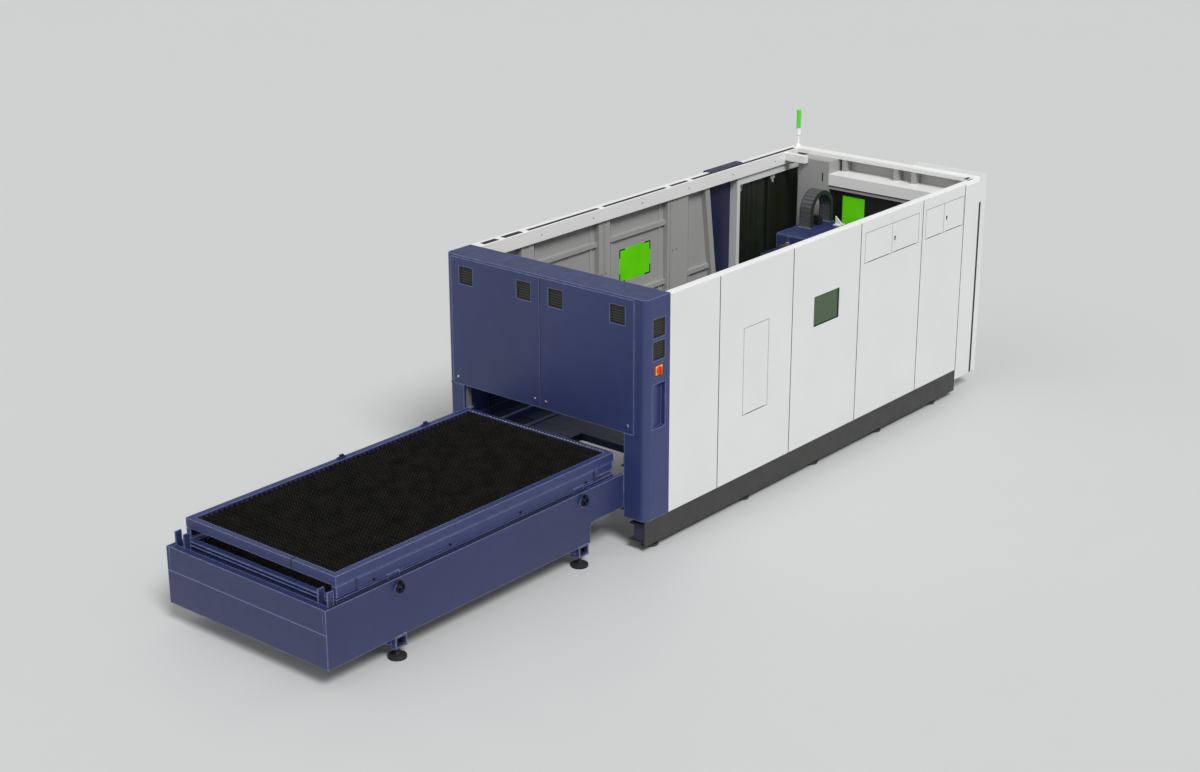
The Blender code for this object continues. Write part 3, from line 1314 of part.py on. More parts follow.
def drive_plan(inset):
    """Plan of the drive cover, or of its hollow when inset by the wall."""
    return [
        (DRIVE_FRONT + inset, DRIVE_FAR - inset), (DRIVE_FRONT + inset, DRIVE_STEP_Y + inset),
        (DRIVE_STEP + inset, DRIVE_STEP_Y + inset), (DRIVE_STEP + inset, DRIVE_NEAR + inset),
        (BRIDGE_END - inset, DRIVE_NEAR + inset), (BRIDGE_END - inset, DRIVE_FAR - inset),
    ]


# Gantry

def build_gantry(body):
    """The gantry: a deep beam with shallow ends whose blocks sit on the linear guides."""
    guide_y = CHANNEL_INNER - SEAT - GUIDE_INSET - GUIDE_WIDTH / 2
    foot = GUIDE_TOP + SEAT
    section = [
        (-GANTRY_HALF, GANTRY_END_BOTTOM), (-GANTRY_SPAN, GANTRY_END_BOTTOM), (-GANTRY_SPAN, GANTRY_BOTTOM),
        (GANTRY_SPAN, GANTRY_BOTTOM), (GANTRY_SPAN, GANTRY_END_BOTTOM), (GANTRY_HALF, GANTRY_END_BOTTOM),
        (GANTRY_HALF, GANTRY_TOP), (-GANTRY_HALF, GANTRY_TOP),
    ]
    pieces = [prism(section, "X", GANTRY_FRONT, GANTRY_BACK)]
    for side in (-1, 1):
        for x in (GANTRY_FRONT + BLOCK_LENGTH / 2, GANTRY_BACK - BLOCK_LENGTH / 2):
            pieces.append(box(x - BLOCK_LENGTH / 2, x + BLOCK_LENGTH / 2, side * (guide_y - BLOCK_WIDTH / 2),
                              side * (guide_y + BLOCK_WIDTH / 2), foot, GANTRY_END_BOTTOM + 0.01))
        centre = (GANTRY_BACK, side * (GANTRY_SPAN - 2 * MOTOR_RADIUS), (GANTRY_BOTTOM + GANTRY_END_BOTTOM) / 2)
        pieces.append(disc(MOTOR_RADIUS, -0.01, MOTOR_REACH, centre, "X", 12))
    reach = GANTRY_HALF - 0.02
    middle = GANTRY_TOP - 0.040
    for z in (middle, GANTRY_BOTTOM + 0.040):
        end = reach if z == middle else GANTRY_SPAN - 0.02
        pieces.append(box(GANTRY_FRONT - Y_GUIDE, GANTRY_FRONT + 0.01, -end, end, z - 0.015, z + 0.015))
    beam = fuse(pieces)
    node(beam, "gantry_beam", BLUE, body, roughness=0.45)


def carriage_back():
    """X of the back of the carriage's apron, just off the cross guides."""
    return GANTRY_FRONT - Y_GUIDE - SEAT


def build_carriage(body):
    """The cross carriage: a housing in front of the beam and over it, seen along Y as an angle."""
    deck = GANTRY_TOP + SEAT
    c = CARRIAGE_CHAMFER
    section = [
        (CARRIAGE_FRONT, CARRIAGE_BOTTOM), (carriage_back(), CARRIAGE_BOTTOM), (carriage_back(), deck),
        (CARRIAGE_REACH, deck), (CARRIAGE_REACH, CARRIAGE_TOP - c), (CARRIAGE_REACH - c, CARRIAGE_TOP),
        (CARRIAGE_FRONT + c, CARRIAGE_TOP), (CARRIAGE_FRONT, CARRIAGE_TOP - c),
    ]
    housing = prism(section, "Y", CARRIAGE_Y - CARRIAGE_HALF, CARRIAGE_Y + CARRIAGE_HALF)
    node(housing, "cross_carriage", BLUE, body, roughness=0.5)


def build_head(body):
    """The cutting head: a box that narrows to the collimator and the copper nozzle."""
    back = CARRIAGE_FRONT - SEAT
    middle = back - HEAD_DEPTH / 2
    low = HEAD_BOTTOM
    outline = [
        (-HEAD_HALF, HEAD_TOP), (HEAD_HALF, HEAD_TOP), (HEAD_HALF, low + HEAD_TAPER), (HEAD_HALF * 0.7, low),
        (-HEAD_HALF * 0.7, low), (-HEAD_HALF, low + HEAD_TAPER),
    ]
    shell = prism([(CARRIAGE_Y + y, z) for y, z in outline], "X", back - HEAD_DEPTH, back)
    profile = [
        (0, NOZZLE_TIP), (0.004, NOZZLE_TIP), (0.014, NOZZLE_TIP + 0.022), (0.014, NOZZLE_TIP + 0.034),
        (0.030, NOZZLE_TIP + 0.040), (0.036, low + 0.02), (0, low + 0.02),
    ]
    snout = lathe(profile, (middle, CARRIAGE_Y, 0))
    fibre = disc(0.018, HEAD_TOP - 0.01, HEAD_TOP + 0.09, (middle, CARRIAGE_Y, 0), "Z", 12)
    head = fuse([shell, snout, fibre])
    node(head, "cutting_head", DARK, body, roughness=0.4)


def chain_path():
    """Centre line of the cable chain seen along Y: (point, normal) pairs from foot to foot."""
    crown = CARRIAGE_TOP + SEAT + CHAIN_STRAIGHT
    steps = round(CHAIN_STRAIGHT / CHAIN_LINK)
    rise = [crown - CHAIN_STRAIGHT * (1 - k / steps) for k in range(steps)]
    turns = round(math.pi * CHAIN_RADIUS / CHAIN_LINK)
    path = [((CHAIN_RADIUS, z), (1, 0)) for z in rise]
    for k in range(turns + 1):
        a = math.pi * k / turns
        normal = (math.cos(a), math.sin(a))
        path.append(((CHAIN_RADIUS * normal[0], crown + CHAIN_RADIUS * normal[1]), normal))
    path += [((-CHAIN_RADIUS, z), (-1, 0)) for z in reversed(rise)]
    return path


def build_chain(body):
    """The cable chain's arch on the carriage, notched between its links."""
    path = chain_path()
    outer = []
    inner = []
    half = CHAIN_THICKNESS / 2
    for ((a, z), (na, nz)), ((b, y), (nb, ny)) in zip(path, path[1:]):
        for share, depth in ((0.0, CHAIN_NOTCH), (0.16, 0.0), (0.84, 0.0)):
            centre = (a + (b - a) * share, z + (y - z) * share)
            normal = Vector((na + (nb - na) * share, nz + (ny - nz) * share)).normalized()
            reach = half - depth
            outer.append((centre[0] + normal[0] * reach, centre[1] + normal[1] * reach))
            inner.append((centre[0] - normal[0] * reach, centre[1] - normal[1] * reach))
    (end, foot), (across, _) = path[-1]
    outer.append((end + across * half, foot))
    inner.append((end - across * half, foot))
    outline = outer + inner[::-1]
    half_width = CHAIN_WIDTH / 2
    chain = prism([(CHAIN_X + x, z) for x, z in outline], "Y", CHAIN_Y - half_width, CHAIN_Y + half_width)
    node(chain, "head_cable_chain", BLACK, body, roughness=0.6)


def build_table_group():
    """Everything on the exchange table."""
    build_table_base()
    build_table_feet()
    lift = joint_empty("lift", (LEG_X[0], 0, lift_beam_bottom()))
    build_lift_frame(lift)
    upper = joint_empty("upper_pallet", (PALLET_START, 0, PALLET_BOTTOM), lift)
    lower = joint_empty("lower_pallet", (PALLET_START, 0, PALLET_BOTTOM - PALLET_PITCH), lift)
    build_pallets(upper, lower)


def build_portal_group():
    """Everything on the portal."""
    build_portal_frame()
    build_side_vents()
    for label in ("near", "far"):
        low, high = flap_span(label)
        flap = joint_empty(f"flap_{label}", (PORTAL_FRONT, (low + high) / 2, FLAP_TOP))
        build_flap(label, flap)
        for number, y in enumerate(lock_centres(label), start=1):
            lock = joint_empty(f"lock_{label}_{number}", (PORTAL_FRONT, y, LOCK_Z), flap)
            build_lock(f"flap_lock_{label}_{number}", y, lock)
    switch = joint_empty("main_switch", (SIDE_VENT_X, -HALF_WIDTH, SWITCH_Z))
    build_switch(switch)
    shutter = joint_empty("shutter", (shutter_x(), 0, SHUTTER_BOTTOM))
    build_shutter(shutter)


def build_hatches():
    """Five hatch leaves, each on an upright hinge at its outer edge."""
    low, high = UPPER_HATCH_LOW, UPPER_HATCH_HIGH
    x0, x1, z0, z1 = SERVICE_HATCH
    leaves = [("service_hatch", x0, x1, z0, z1, x0)]
    for number, (a, b, c) in ((4, HATCH_FOUR), (5, HATCH_FIVE)):
        leaves.append((f"hatch_{number}_front", a, b, low, high, a))
        leaves.append((f"hatch_{number}_rear", b, c, low, high, c))
    for name, x0, x1, z0, z1, hinge in leaves:
        edge = hinge + HATCH_GAP if hinge == x0 else hinge - HATCH_GAP
        body = joint_empty(f"{name}_hinge", (edge, -HALF_WIDTH, (z0 + z1) / 2))
        build_hatch(name, x0, x1, z0, z1, body)


def build_cabin_group():
    """Walls, doors, rear bay and lamp."""
    build_wall_panels()
    build_hatches()
    build_roof_frame()
    build_far_wall()
    build_accent_panel()
    build_door_frame()
    for index in range(2):
        x0 = DOOR_START_X + RUNNING + index * (leaf_width() - LEAF_LAP)
        build_door_leaf(index, joint_empty(f"leaf_{index + 1}", (x0, leaf_centre_y(index), CABIN_BOTTOM)))
    build_rear_cabinet()
    build_rear_frame()
    build_rear_inner_wall()
    build_rear_door(joint_empty("rear_door_hinge", (HALF_LENGTH, REAR_DOOR_EDGE_Y, REAR_BOTTOM)))
    build_stack_light()


def build_machine_group():
    """Plinths, bed and the moving axes."""
    for side in (-1, 1):
        build_plinth(side)
    build_bed()
    build_shuttle_drive()
    gantry = joint_empty("gantry", (GANTRY_X, 0, GUIDE_TOP))
    build_gantry(gantry)
    carriage = joint_empty("carriage", (CARRIAGE_FRONT, CARRIAGE_Y, CARRIAGE_BOTTOM), gantry)
    build_carriage(carriage)
    build_chain(carriage)
    head = joint_empty("head", (CARRIAGE_FRONT, CARRIAGE_Y, HEAD_BOTTOM), carriage)
    build_head(head)


def main():
    clear_scene()
    build_table_group()
    build_portal_group()
    build_cabin_group()
    build_machine_group()


main()
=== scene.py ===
"""Looks of an enclosed flat-bed laser cutting machine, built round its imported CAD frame.

+X runs from the exchange table to the rear bay, -Y is the long side with the hatches and
+Z is up. Metres throughout.
"""

import logging
import math
from contextlib import contextmanager
from dataclasses import dataclass, field
from enum import Enum
from typing import Any, Callable, Iterable, Iterator

import bmesh
import bpy
from mathutils import Matrix, Vector


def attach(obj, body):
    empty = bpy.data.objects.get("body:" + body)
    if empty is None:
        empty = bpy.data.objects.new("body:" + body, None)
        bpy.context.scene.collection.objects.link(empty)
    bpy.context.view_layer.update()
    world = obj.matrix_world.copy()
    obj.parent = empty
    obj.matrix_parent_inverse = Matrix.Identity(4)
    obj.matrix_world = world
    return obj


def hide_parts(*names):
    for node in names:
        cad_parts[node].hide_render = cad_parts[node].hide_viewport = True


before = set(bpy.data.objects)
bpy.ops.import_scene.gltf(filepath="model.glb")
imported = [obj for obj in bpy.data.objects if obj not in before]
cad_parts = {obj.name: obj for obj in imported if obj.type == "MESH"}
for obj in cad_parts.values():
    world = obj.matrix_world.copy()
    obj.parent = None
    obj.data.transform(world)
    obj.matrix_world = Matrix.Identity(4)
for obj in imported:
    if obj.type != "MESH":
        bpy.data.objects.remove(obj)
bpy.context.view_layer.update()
log = logging.getLogger("laser_cutter")

Pair = tuple[float, float]
Point = tuple[float, float, float]
Colour = tuple[float, ...]
Item = bpy.types.Object
Socket = bpy.types.NodeSocket
Test = Callable[[bmesh.types.BMFace], bool]
SIDES = (-1, 1)  # near and far long side, as the sign of Y
MIX = {"out": 2, "data_type": "RGBA"}  # a mix of two colours, at inputs 6 and 7
RAGGED = 0.55  # roughness of every noise
SOFT: Pair = (0.3, 0.7)  # part of a noise that gives even, soft patches
BROAD: Pair = (0.35, 0.65)  # part of a noise that gives slow drifts
EDGE_TURN: Pair = (0.96, 0.82)  # cosines between the rounded and the flat normal, from flat to edge
SQUARE_ON = 0.9  # a face looks along an axis when its normal reaches this far
ROUND_ANGLE = math.radians(50.0)  # edges that turn more are rounded
SMOOTH_ANGLE = math.radians(38.0)  # faces that turn less are shaded as one


class Axis(Enum):
    """Direction that a round piece is turned about."""

    X = (0.0, math.pi / 2, 0.0)
    Y = (math.pi / 2, 0.0, 0.0)
    Z = (0.0, 0.0, 0.0)


def linear(code: str) -> Colour:
    """Turn an sRGB hex colour into the linear RGBA that shaders take."""
    parts = [int(code[k : k + 2], 16) / 255 for k in (1, 3, 5)]
    return (*(c / 12.92 if c <= 0.04045 else ((c + 0.055) / 1.055) ** 2.4 for c in parts), 1.0)


def shade(colour: Colour, factor: float, lift: float = 0.0) -> Colour:
    """Scale a linear colour, up to white at most."""
    return (*(min(1.0, c * factor + lift) for c in colour[:3]), 1.0)


def lumps(place: Socket, size_mm: float, detail: float) -> dict[str, Any]:
    """Give the inputs of a noise whose lumps are this many millimetres wide."""
    return {"Vector": place, "Scale": 1000.0 / size_mm, "Detail": detail, "Roughness": RAGGED}


@dataclass
class Graph:
    """Nodes of a material or the world, its end node and the coordinates that patterns follow."""

    tree: bpy.types.NodeTree
    end: bpy.types.Node
    place: Socket | None = None

    def feed(self, node: bpy.types.Node, sockets: dict | tuple) -> None:
        """Set or link a node's inputs.

        Args:
            node: the node.
            sockets: values or output sockets, by name or number or in order.
        """
        for key, value in sockets.items() if isinstance(sockets, dict) else enumerate(sockets):
            if isinstance(value, Socket):
                self.tree.links.new(value, node.inputs[key])
            else:
                node.inputs[key].default_value = value

    def put(self, kind: str, sockets: dict | tuple = (), out: int | str = 0, **settings: Any) -> Socket:
        """Add a node with its settings and links.

        Args:
            kind: Blender's type name after "ShaderNode".
            sockets: values or output sockets, by name or number or in order.
            out: the output that is wanted.
            settings: properties of the node itself.

        Returns:
            That output.
        """
        node = self.tree.nodes.new("ShaderNode" + kind)
        for name, value in settings.items():
            setattr(node, name, value)
        self.feed(node, sockets)
        return node.outputs[out]

    def patches(self, size_mm: float, detail: float, span: Pair, out: Pair = (0.0, 1.0),
                place: Socket | None = None) -> Socket:
        """Give soft patches: a noise cut to a span and stretched to another.

        Args:
            size_mm: width of the patches.
            detail: how ragged they are.
            span: values of the noise that become the ends of the result.
            out: values at those ends.
            place: coordinates, if not the object's own.

        Returns:
            The patches as a value.
        """
        noise = self.put("TexNoise", lumps(place or self.place, size_mm, detail))
        return self.put("MapRange", (noise, *span, *out))

    def edges(self, width_mm: float, share: float, rub: Socket) -> Socket:
        """Give outer edges and folds in patches, for pale edges of wear, and on powder coats also painted highlight;
        flats give 0.

        Args:
            width_mm: width of an edge.
            share: value on a rubbed edge.
            rub: patches in which the edges are rubbed.

        Returns:
            The pale edges as a value.
        """
        soft = self.put("Bevel", {"Radius": width_mm / 1000}, samples=4)
        flat = self.put("NewGeometry", out="Normal")
        turn = self.put("VectorMath", (soft, flat), "Value", operation="DOT_PRODUCT")
        edge = self.put("MapRange", (turn, *EDGE_TURN, 0.0, 1.0))
        worn = self.put("Math", (edge, rub), operation="MULTIPLY")
        return self.put("Math", (worn, share), operation="MULTIPLY")

    def dress(self, colour: Socket, rough: Socket, height: Socket, depth_mm: float, strength: float,
              plain: dict[str, Any] | None = None) -> None:
        """Feed the shader.

        Args:
            colour: base colour.
            rough: roughness.
            height: relief that is pressed into the surface.
            depth_mm: depth of the relief.
            strength: how much of it shows.
            plain: values that are the same all over, set on the shader's own sockets.
        """
        relief = self.put("Bump", {"Height": height, "Distance": depth_mm / 1000, "Strength": strength})
        self.feed(self.end, {"Base Color": colour, "Roughness": rough, "Normal": relief, **(plain or {})})


# Finishes


@dataclass(frozen=True)
class Finish:
    """A surface with a colour; each kind adds its own grain, gloss and wear."""

    name: str
    colour: str

    def make(self) -> bpy.types.Material:
        """Build the material with its own patterns.

        Returns:
            A node material on Object coordinates.
        """
        material = bpy.data.materials.new(self.name)
        material.use_nodes = True
        graph = Graph(material.node_tree, material.node_tree.nodes["Principled BSDF"])
        graph.place = graph.put("TexCoord", out="Object")
        self.paint(graph)
        return material

    def paint(self, graph: Graph) -> None:
        """Set the shader up; each kind of finish has its own."""
        raise NotImplementedError


@dataclass(frozen=True)
class PowderCoat(Finish):
    """Powder-coated sheet steel: sprayed as dry powder and baked, so it has a fine orange peel.

    The eye gets a satin sheen that breaks up softly, pale edges and folds that are part wear
    and part painted highlight, and a little dust low down.
    """

    # Colour of the pale edges: wear and painted highlight together
    edge: str = "#8088a8"
    edge_share: float = 0.5
    edge_mm: float = 5.0
    gloss: float = 0.42
    peel_mm: float = 7.0
    drift: float = 0.06
    dust: str = "#8d8a84"

    def paint(self, graph: Graph) -> None:
        """Orange peel, slow colour drift, pale edges and dust.

        Args:
            graph: the material's nodes.
        """
        put, base = graph.put, linear(self.colour)
        broad = graph.patches(640, 4.0, BROAD)
        colour = put("Mix", {0: broad, 6: shade(base, 1 - self.drift), 7: shade(base, 1 + self.drift)}, **MIX)
        # Scuffs where hands, forks and sheets touch the coat, and painted highlight along the edges; both pale the
        # edges in patches
        rub = graph.patches(55, 6.0, (0.40, 0.62), (0.65, 1.0))
        worn = graph.edges(self.edge_mm, self.edge_share, rub)
        colour = self.lines(graph, put("Mix", {0: worn, 6: colour, 7: linear(self.edge)}, **MIX))
        # Dust settles in the lowest half metre
        low = put("MapRange", (put("SeparateXYZ", (graph.place,), 2), 0.45, 0.0, 0.0, 0.05))
        patch = put("Math", (low, rub), operation="MULTIPLY")
        colour = put("Mix", {0: patch, 6: colour, 7: linear(self.dust)}, **MIX)
        rough = graph.patches(90, 5.0, SOFT, (self.gloss - 0.05, self.gloss + 0.08))
        # Orange peel is 1 to 2 mm on the real coat and is drawn coarser so that it shows
        peel = put("TexNoise", lumps(graph.place, self.peel_mm, 1.5))
        graph.dress(colour, rough, peel, 0.25, 0.35, {"Coat Weight": 0.06, "Coat Roughness": 0.3})

    def lines(self, graph: Graph, colour: Socket) -> Socket:
        """Draw lines on the coat, such as a fold's painted highlight; a plain coat has none."""
        return colour


@dataclass(frozen=True)
class FoldedCoat(PowderCoat):
    """The same coat over sheet with a stiffening fold across the end wall.

    The eye gets a fine pale line where the fold catches the light.
    """

    # Colour of the painted highlight where the fold catches the light
    fold: str = "#6a739d"
    fold_z: float = 0.470
    fold_half: float = 0.005
    wall_x: float = -4.386

    def lines(self, graph: Graph, colour: Socket) -> Socket:
        """Paint the fold's highlight as a narrow pale band at its height, on the end wall alone.

        Args:
            graph: the material's nodes.
            colour: the coat so far.

        Returns:
            The coat with the band.
        """
        put = graph.put
        axes = put("SeparateXYZ", (graph.place,)).node.outputs
        away = put("Math", (axes[2], self.fold_z), operation="SUBTRACT")
        away = put("Math", (away,), operation="ABSOLUTE")
        fold_highlight = put("MapRange", (away, self.fold_half, self.fold_half * 0.5, 0.0, 0.9))
        wall = put("Math", (axes[0], self.wall_x), operation="LESS_THAN")
        share = put("Math", (fold_highlight, wall), operation="MULTIPLY")
        return put("Mix", {0: share, 6: colour, 7: linear(self.fold)}, **MIX)


@dataclass(frozen=True)
class LinedCoat(PowderCoat):
    """The same coat, in a second colour beyond straight planes.

    The eye gets bright outer faces and rails round a calm grey chamber.
    """

    second: str = "#d7d8d8"
    beyond: tuple[tuple[int, float], ...] = ((1, 1.110),)

    def lines(self, graph: Graph, colour: Socket) -> Socket:
        """Change the colour beyond each plane.

        Args:
            graph: the material's nodes.
            colour: the coat so far.

        Returns:
            The coat in both colours.
        """
        axes = graph.put("SeparateXYZ", (graph.place,)).node.outputs
        for axis, limit in self.beyond:
            share = graph.put("Math", (axes[axis], limit), operation="GREATER_THAN")
            colour = graph.put("Mix", {0: share, 6: colour, 7: linear(self.second)}, **MIX)
        return colour


@dataclass(frozen=True)
class ScorchedSteel(Finish):
    """Plasma-dark mild steel slats: cut from sheet and blackened by the beam, with spatter and rust.

    The eye gets a matt near-black with warm specks and slightly bare tooth tips.
    """

    soot: str = "#2b2926"
    rust: str = "#4a3424"
    bare: str = "#5f5d58"
    level_gap: float = 0.187
    tip_z: float = 0.8715 % 0.187

    def paint(self, graph: Graph) -> None:
        """Soot, heat tint, spatter and bare tips.

        Args:
            graph: the material's nodes.
        """
        put, place = graph.put, graph.place
        soot = graph.patches(120, 5.0, (0.35, 0.7))
        colour = put("Mix", {0: soot, 6: linear(self.colour), 7: linear(self.soot)}, **MIX)
        rust = graph.patches(30, 6.0, (0.60, 0.74), (0.0, 0.45))
        colour = put("Mix", {0: rust, 6: colour, 7: linear(self.rust)}, **MIX)
        # Bare tooth tips, by height within either pallet's slats
        level = put("Math", (put("SeparateXYZ", (place,), 2), self.level_gap), operation="MODULO")
        tips = put("MapRange", (level, self.tip_z - 0.009, self.tip_z, 0.0, 0.5))
        worn = graph.patches(140, 4.0, (0.4, 0.6), (0.25, 1.0))
        tips = put("Math", (tips, worn), operation="MULTIPLY")
        colour = put("Mix", {0: tips, 6: colour, 7: linear(self.bare)}, **MIX)
        # Spatter beads of about 1 mm are drawn at 4 mm
        beads = put("TexNoise", lumps(place, 4.0, 2.0))
        rough = put("MapRange", (beads, *SOFT, 0.55, 0.85))
        graph.dress(colour, rough, beads, 0.8, 0.6, {"Metallic": 0.55})


@dataclass(frozen=True)
class BareMetal(Finish):
    """Metal left bare: ground, turned or plated, with fine tool lines along one axis.

    The eye gets a stretched highlight and small changes of polish.
    """

    polish: float = 0.25
    stretch: Point = (1.0, 18.0, 18.0)
    line_mm: float = 6.0

    def paint(self, graph: Graph) -> None:
        """Tool lines and handling marks.

        Args:
            graph: the material's nodes.
        """
        put, base = graph.put, linear(self.colour)
        dull = shade(base, 0.78)
        # Grinding lines are about 0.1 mm apart and are drawn wider so that they show
        along = put("Mapping", {0: graph.place, "Scale": self.stretch})
        lines = put("TexNoise", lumps(along, self.line_mm * 10, 6.0))
        colour = put("Mix", {0: put("MapRange", (lines, *SOFT, 0.0, 1.0)), 6: dull, 7: base}, **MIX)
        smear = graph.patches(60, 4.0, (0.45, 0.7), (0.0, 0.3))
        colour = put("Mix", {0: smear, 6: colour, 7: dull}, **MIX)
        rough = put("MapRange", (lines, 0.25, 0.75, self.polish, self.polish + 0.18))
        graph.dress(colour, rough, lines, 0.15, 0.3, {"Metallic": 1.0})


@dataclass(frozen=True)
class Moulded(Finish):
    """Injection-moulded plastic: a fine spark-eroded grain with rubbed corners.

    The eye gets an even colour, a soft broad highlight and greyer edges.
    """

    gloss: float = 0.5
    grain_mm: float = 3.0
    edge: str = "#6a6a6a"
    edge_share: float = 0.25

    def paint(self, graph: Graph) -> None:
        """Mould grain, slight fading and rubbed corners.

        Args:
            graph: the material's nodes.
        """
        put, base = graph.put, linear(self.colour)
        fading = graph.patches(80, 4.0, SOFT)
        colour = put("Mix", {0: fading, 6: base, 7: shade(base, 1.12, 0.003)}, **MIX)
        worn = graph.edges(2.0, self.edge_share, graph.patches(18, 4.0, (0.4, 0.6), (0.2, 1.0)))
        colour = put("Mix", {0: worn, 6: colour, 7: linear(self.edge)}, **MIX)
        # Mould grain of 0.2 mm is drawn at a few millimetres
        grain = put("TexNoise", lumps(graph.place, self.grain_mm, 2.0))
        rough = put("MapRange", (grain, *SOFT, self.gloss - 0.06, self.gloss + 0.1))
        graph.dress(colour, rough, grain, 0.2, 0.3)


@dataclass(frozen=True)
class SafetyPane(Finish):
    """Cast acrylic laser glazing: dyed through, so light from outside makes a bright pane glow.

    The eye gets a saturated sheet with a clear gloss, faint wipe marks and a lit body.
    """

    # Emission; on the lit panes it is a painted glow of the light from outside
    glow: float = 0.0
    clear: float = 0.3
    bend: float = 1.49

    def paint(self, graph: Graph) -> None:
        """Dye, gloss, wipe marks and the light that the dye scatters, painted as a glow.

        Args:
            graph: the material's nodes.
        """
        put, place, base = graph.put, graph.place, linear(self.colour)
        dye = graph.patches(220, 3.0, SOFT)
        colour = put("Mix", {0: dye, 6: shade(base, 0.86), 7: base}, **MIX)
        wipe = put("Mapping", {0: place, "Rotation": (0.3, 0.5, 0.2), "Scale": (1.0, 5.0, 1.0)})
        rough = graph.patches(70, 6.0, (0.4, 0.75), (0.07, 0.22), wipe)
        plain = {"Emission Strength": self.glow, "Transmission Weight": self.clear, "IOR": self.bend}
        graph.dress(colour, rough, put("TexNoise", lumps(place, 150, 1.0)), 0.2, 0.15,
                    {"Emission Color": colour, **plain})


@dataclass(frozen=True)
class SealedFloor(Finish):
    """Painted workshop floor: rolled on, with a soft stipple. It gives a pale, even ground."""

    def paint(self, graph: Graph) -> None:
        """Stipple and a slow change of gloss.

        Args:
            graph: the material's nodes.
        """
        base = linear(self.colour)
        broad = graph.patches(3000, 3.0, BROAD)
        colour = graph.put("Mix", {0: broad, 6: base, 7: shade(base, 1.005)}, **MIX)
        rough = graph.patches(400, 4.0, SOFT, (0.5, 0.62))
        graph.dress(colour, rough, graph.put("TexNoise", lumps(graph.place, 9, 2.0)), 0.2, 0.1)


# Pale edges on the blue sheet are part wear and part painted highlight; the 2 mm of wear is drawn wider so that they
# show
WORN_AND_LIT_BLUE_EDGES = {"edge": "#929ccb", "edge_share": 0.85, "edge_mm": 12.0}
# White and grey coats are smoother than the blue, with pale edges of wear and painted highlight, and small plated parts
# have no direction of grain
PALE = {"edge_share": 0.3, "gloss": 0.36, "drift": 0.015}
GREY = {"edge": "#d2d3d1", "edge_share": 0.7, "drift": 0.03}
ROUND_STOCK = {"stretch": (1.0, 1.0, 1.0), "line_mm": 1.5}

BLUE_COAT = PowderCoat("powder_coat_dark_blue", "#2a3461", **WORN_AND_LIT_BLUE_EDGES)
# The portal's blue darkened part way, as painted shade on the panel inside the cabin
ACCENT_COAT = PowderCoat("powder_coat_blue_part_painted_shade", "#1d2443", edge="#5f6892", edge_share=0.6, edge_mm=9.0)
# A darker copy of the blue coat: painted shade on parts inside and under the machine
BLUE_PAINTED_SHADE = PowderCoat("powder_coat_dark_blue_painted_shade", "#1c2346", edge="#454d78", edge_share=0.3)
FOLDED_COAT = FoldedCoat("powder_coat_dark_blue_folded", "#262e58", **WORN_AND_LIT_BLUE_EDGES)
WHITE_COAT = PowderCoat("powder_coat_signal_white", "#d7d8d8", edge="#f2f2f2", **PALE)
# A brighter copy of the white coat: painted light on the roof frame and its saddles
WHITE_PAINTED_LIGHT = PowderCoat("powder_coat_white_painted_light", "#ececeb", edge="#f8f8f8", **PALE)
GREY_COAT = PowderCoat("powder_coat_pearl_grey", "#a3a4a2", **GREY)
WALL_COAT = LinedCoat("powder_coat_white_lined_grey", "#a3a4a2", **GREY)
BAY_COAT = LinedCoat("powder_coat_white_part_grey", "#e6e6e5", edge="#f4f4f4", **PALE,
                     second="#9fa09e", beyond=((1, 0.4895), (2, 2.0545)))
# A darker copy of the grey coat: painted shade on the shutter post inside the far leg
GREY_PAINTED_SHADE = PowderCoat("powder_coat_grey_painted_shade", "#6a6b66", edge="#a9aaa6", edge_share=0.4, drift=0.03)
PLINTH_COAT = PowderCoat("powder_coat_anthracite", "#262625", edge="#565655", edge_share=0.3, drift=0.03)
HEAD_COAT = PowderCoat("powder_coat_iron_grey", "#414143", edge="#77787a", edge_share=0.4, edge_mm=3.0, drift=0.03)
BLACK_COAT = PowderCoat("powder_coat_matt_black", "#0f0f11", edge="#3a3a3e", edge_share=0.3, gloss=0.55)
SLAT_STEEL = ScorchedSteel("scorched_mild_steel", "#151513")
GROUND_STEEL = BareMetal("ground_linear_guide_steel", "#b9bcc0", polish=0.22)
ZINC = BareMetal("bright_zinc_plate", "#e6e8ec", polish=0.18, **ROUND_STOCK)
BLACK_OXIDE = BareMetal("black_oxide_screw_steel", "#2c2d31", polish=0.4, **ROUND_STOCK)
COPPER = BareMetal("turned_copper", "#c98a63", polish=0.2, stretch=(8.0, 8.0, 1.0), line_mm=0.8)
GRILLE = Moulded("glass_filled_nylon_black", "#262724", gloss=0.6, edge="#41413e", edge_share=0.35)
CHAIN_PLASTIC = Moulded("chain_nylon_black", "#232425", gloss=0.42, edge="#6a6c6e", edge_share=0.3)
# Grey on the black chain's covers is painted light on their lit backs
CHAIN_PAINTED_LIGHT = Moulded("chain_nylon_black_painted_light", "#484a4c", gloss=0.42, edge="#8a8c8f", edge_share=0.35)
RUBBER = Moulded("nitrile_rubber_black", "#161616", gloss=0.7, edge="#3c3c3c", edge_share=0.3)
SWITCH_ORANGE = Moulded("abs_signal_orange", "#f2a02c", gloss=0.35, edge="#f7c477", edge_share=0.3)
SWITCH_RED = Moulded("abs_signal_red", "#cf3d1f", gloss=0.3, edge="#e8795f", edge_share=0.3)
LAMP_WHITE = Moulded("polycarbonate_white", "#e6e7e6", gloss=0.3, edge="#f4f4f4", edge_share=0.2)
# The lit windows' glow is painted light from outside
LIT_PANE = SafetyPane("cast_acrylic_bright_green", "#57b80f", glow=0.45, clear=0.1)
DARK_PANE = SafetyPane("cast_acrylic_smoked_green", "#41583a", clear=0.1)
DOOR_PANE = SafetyPane("cast_acrylic_black_green", "#20261c", clear=0.0)
LAMP_LENS = SafetyPane("polycarbonate_green_lens", "#59d93a", glow=0.12, clear=0.1)


# The bench


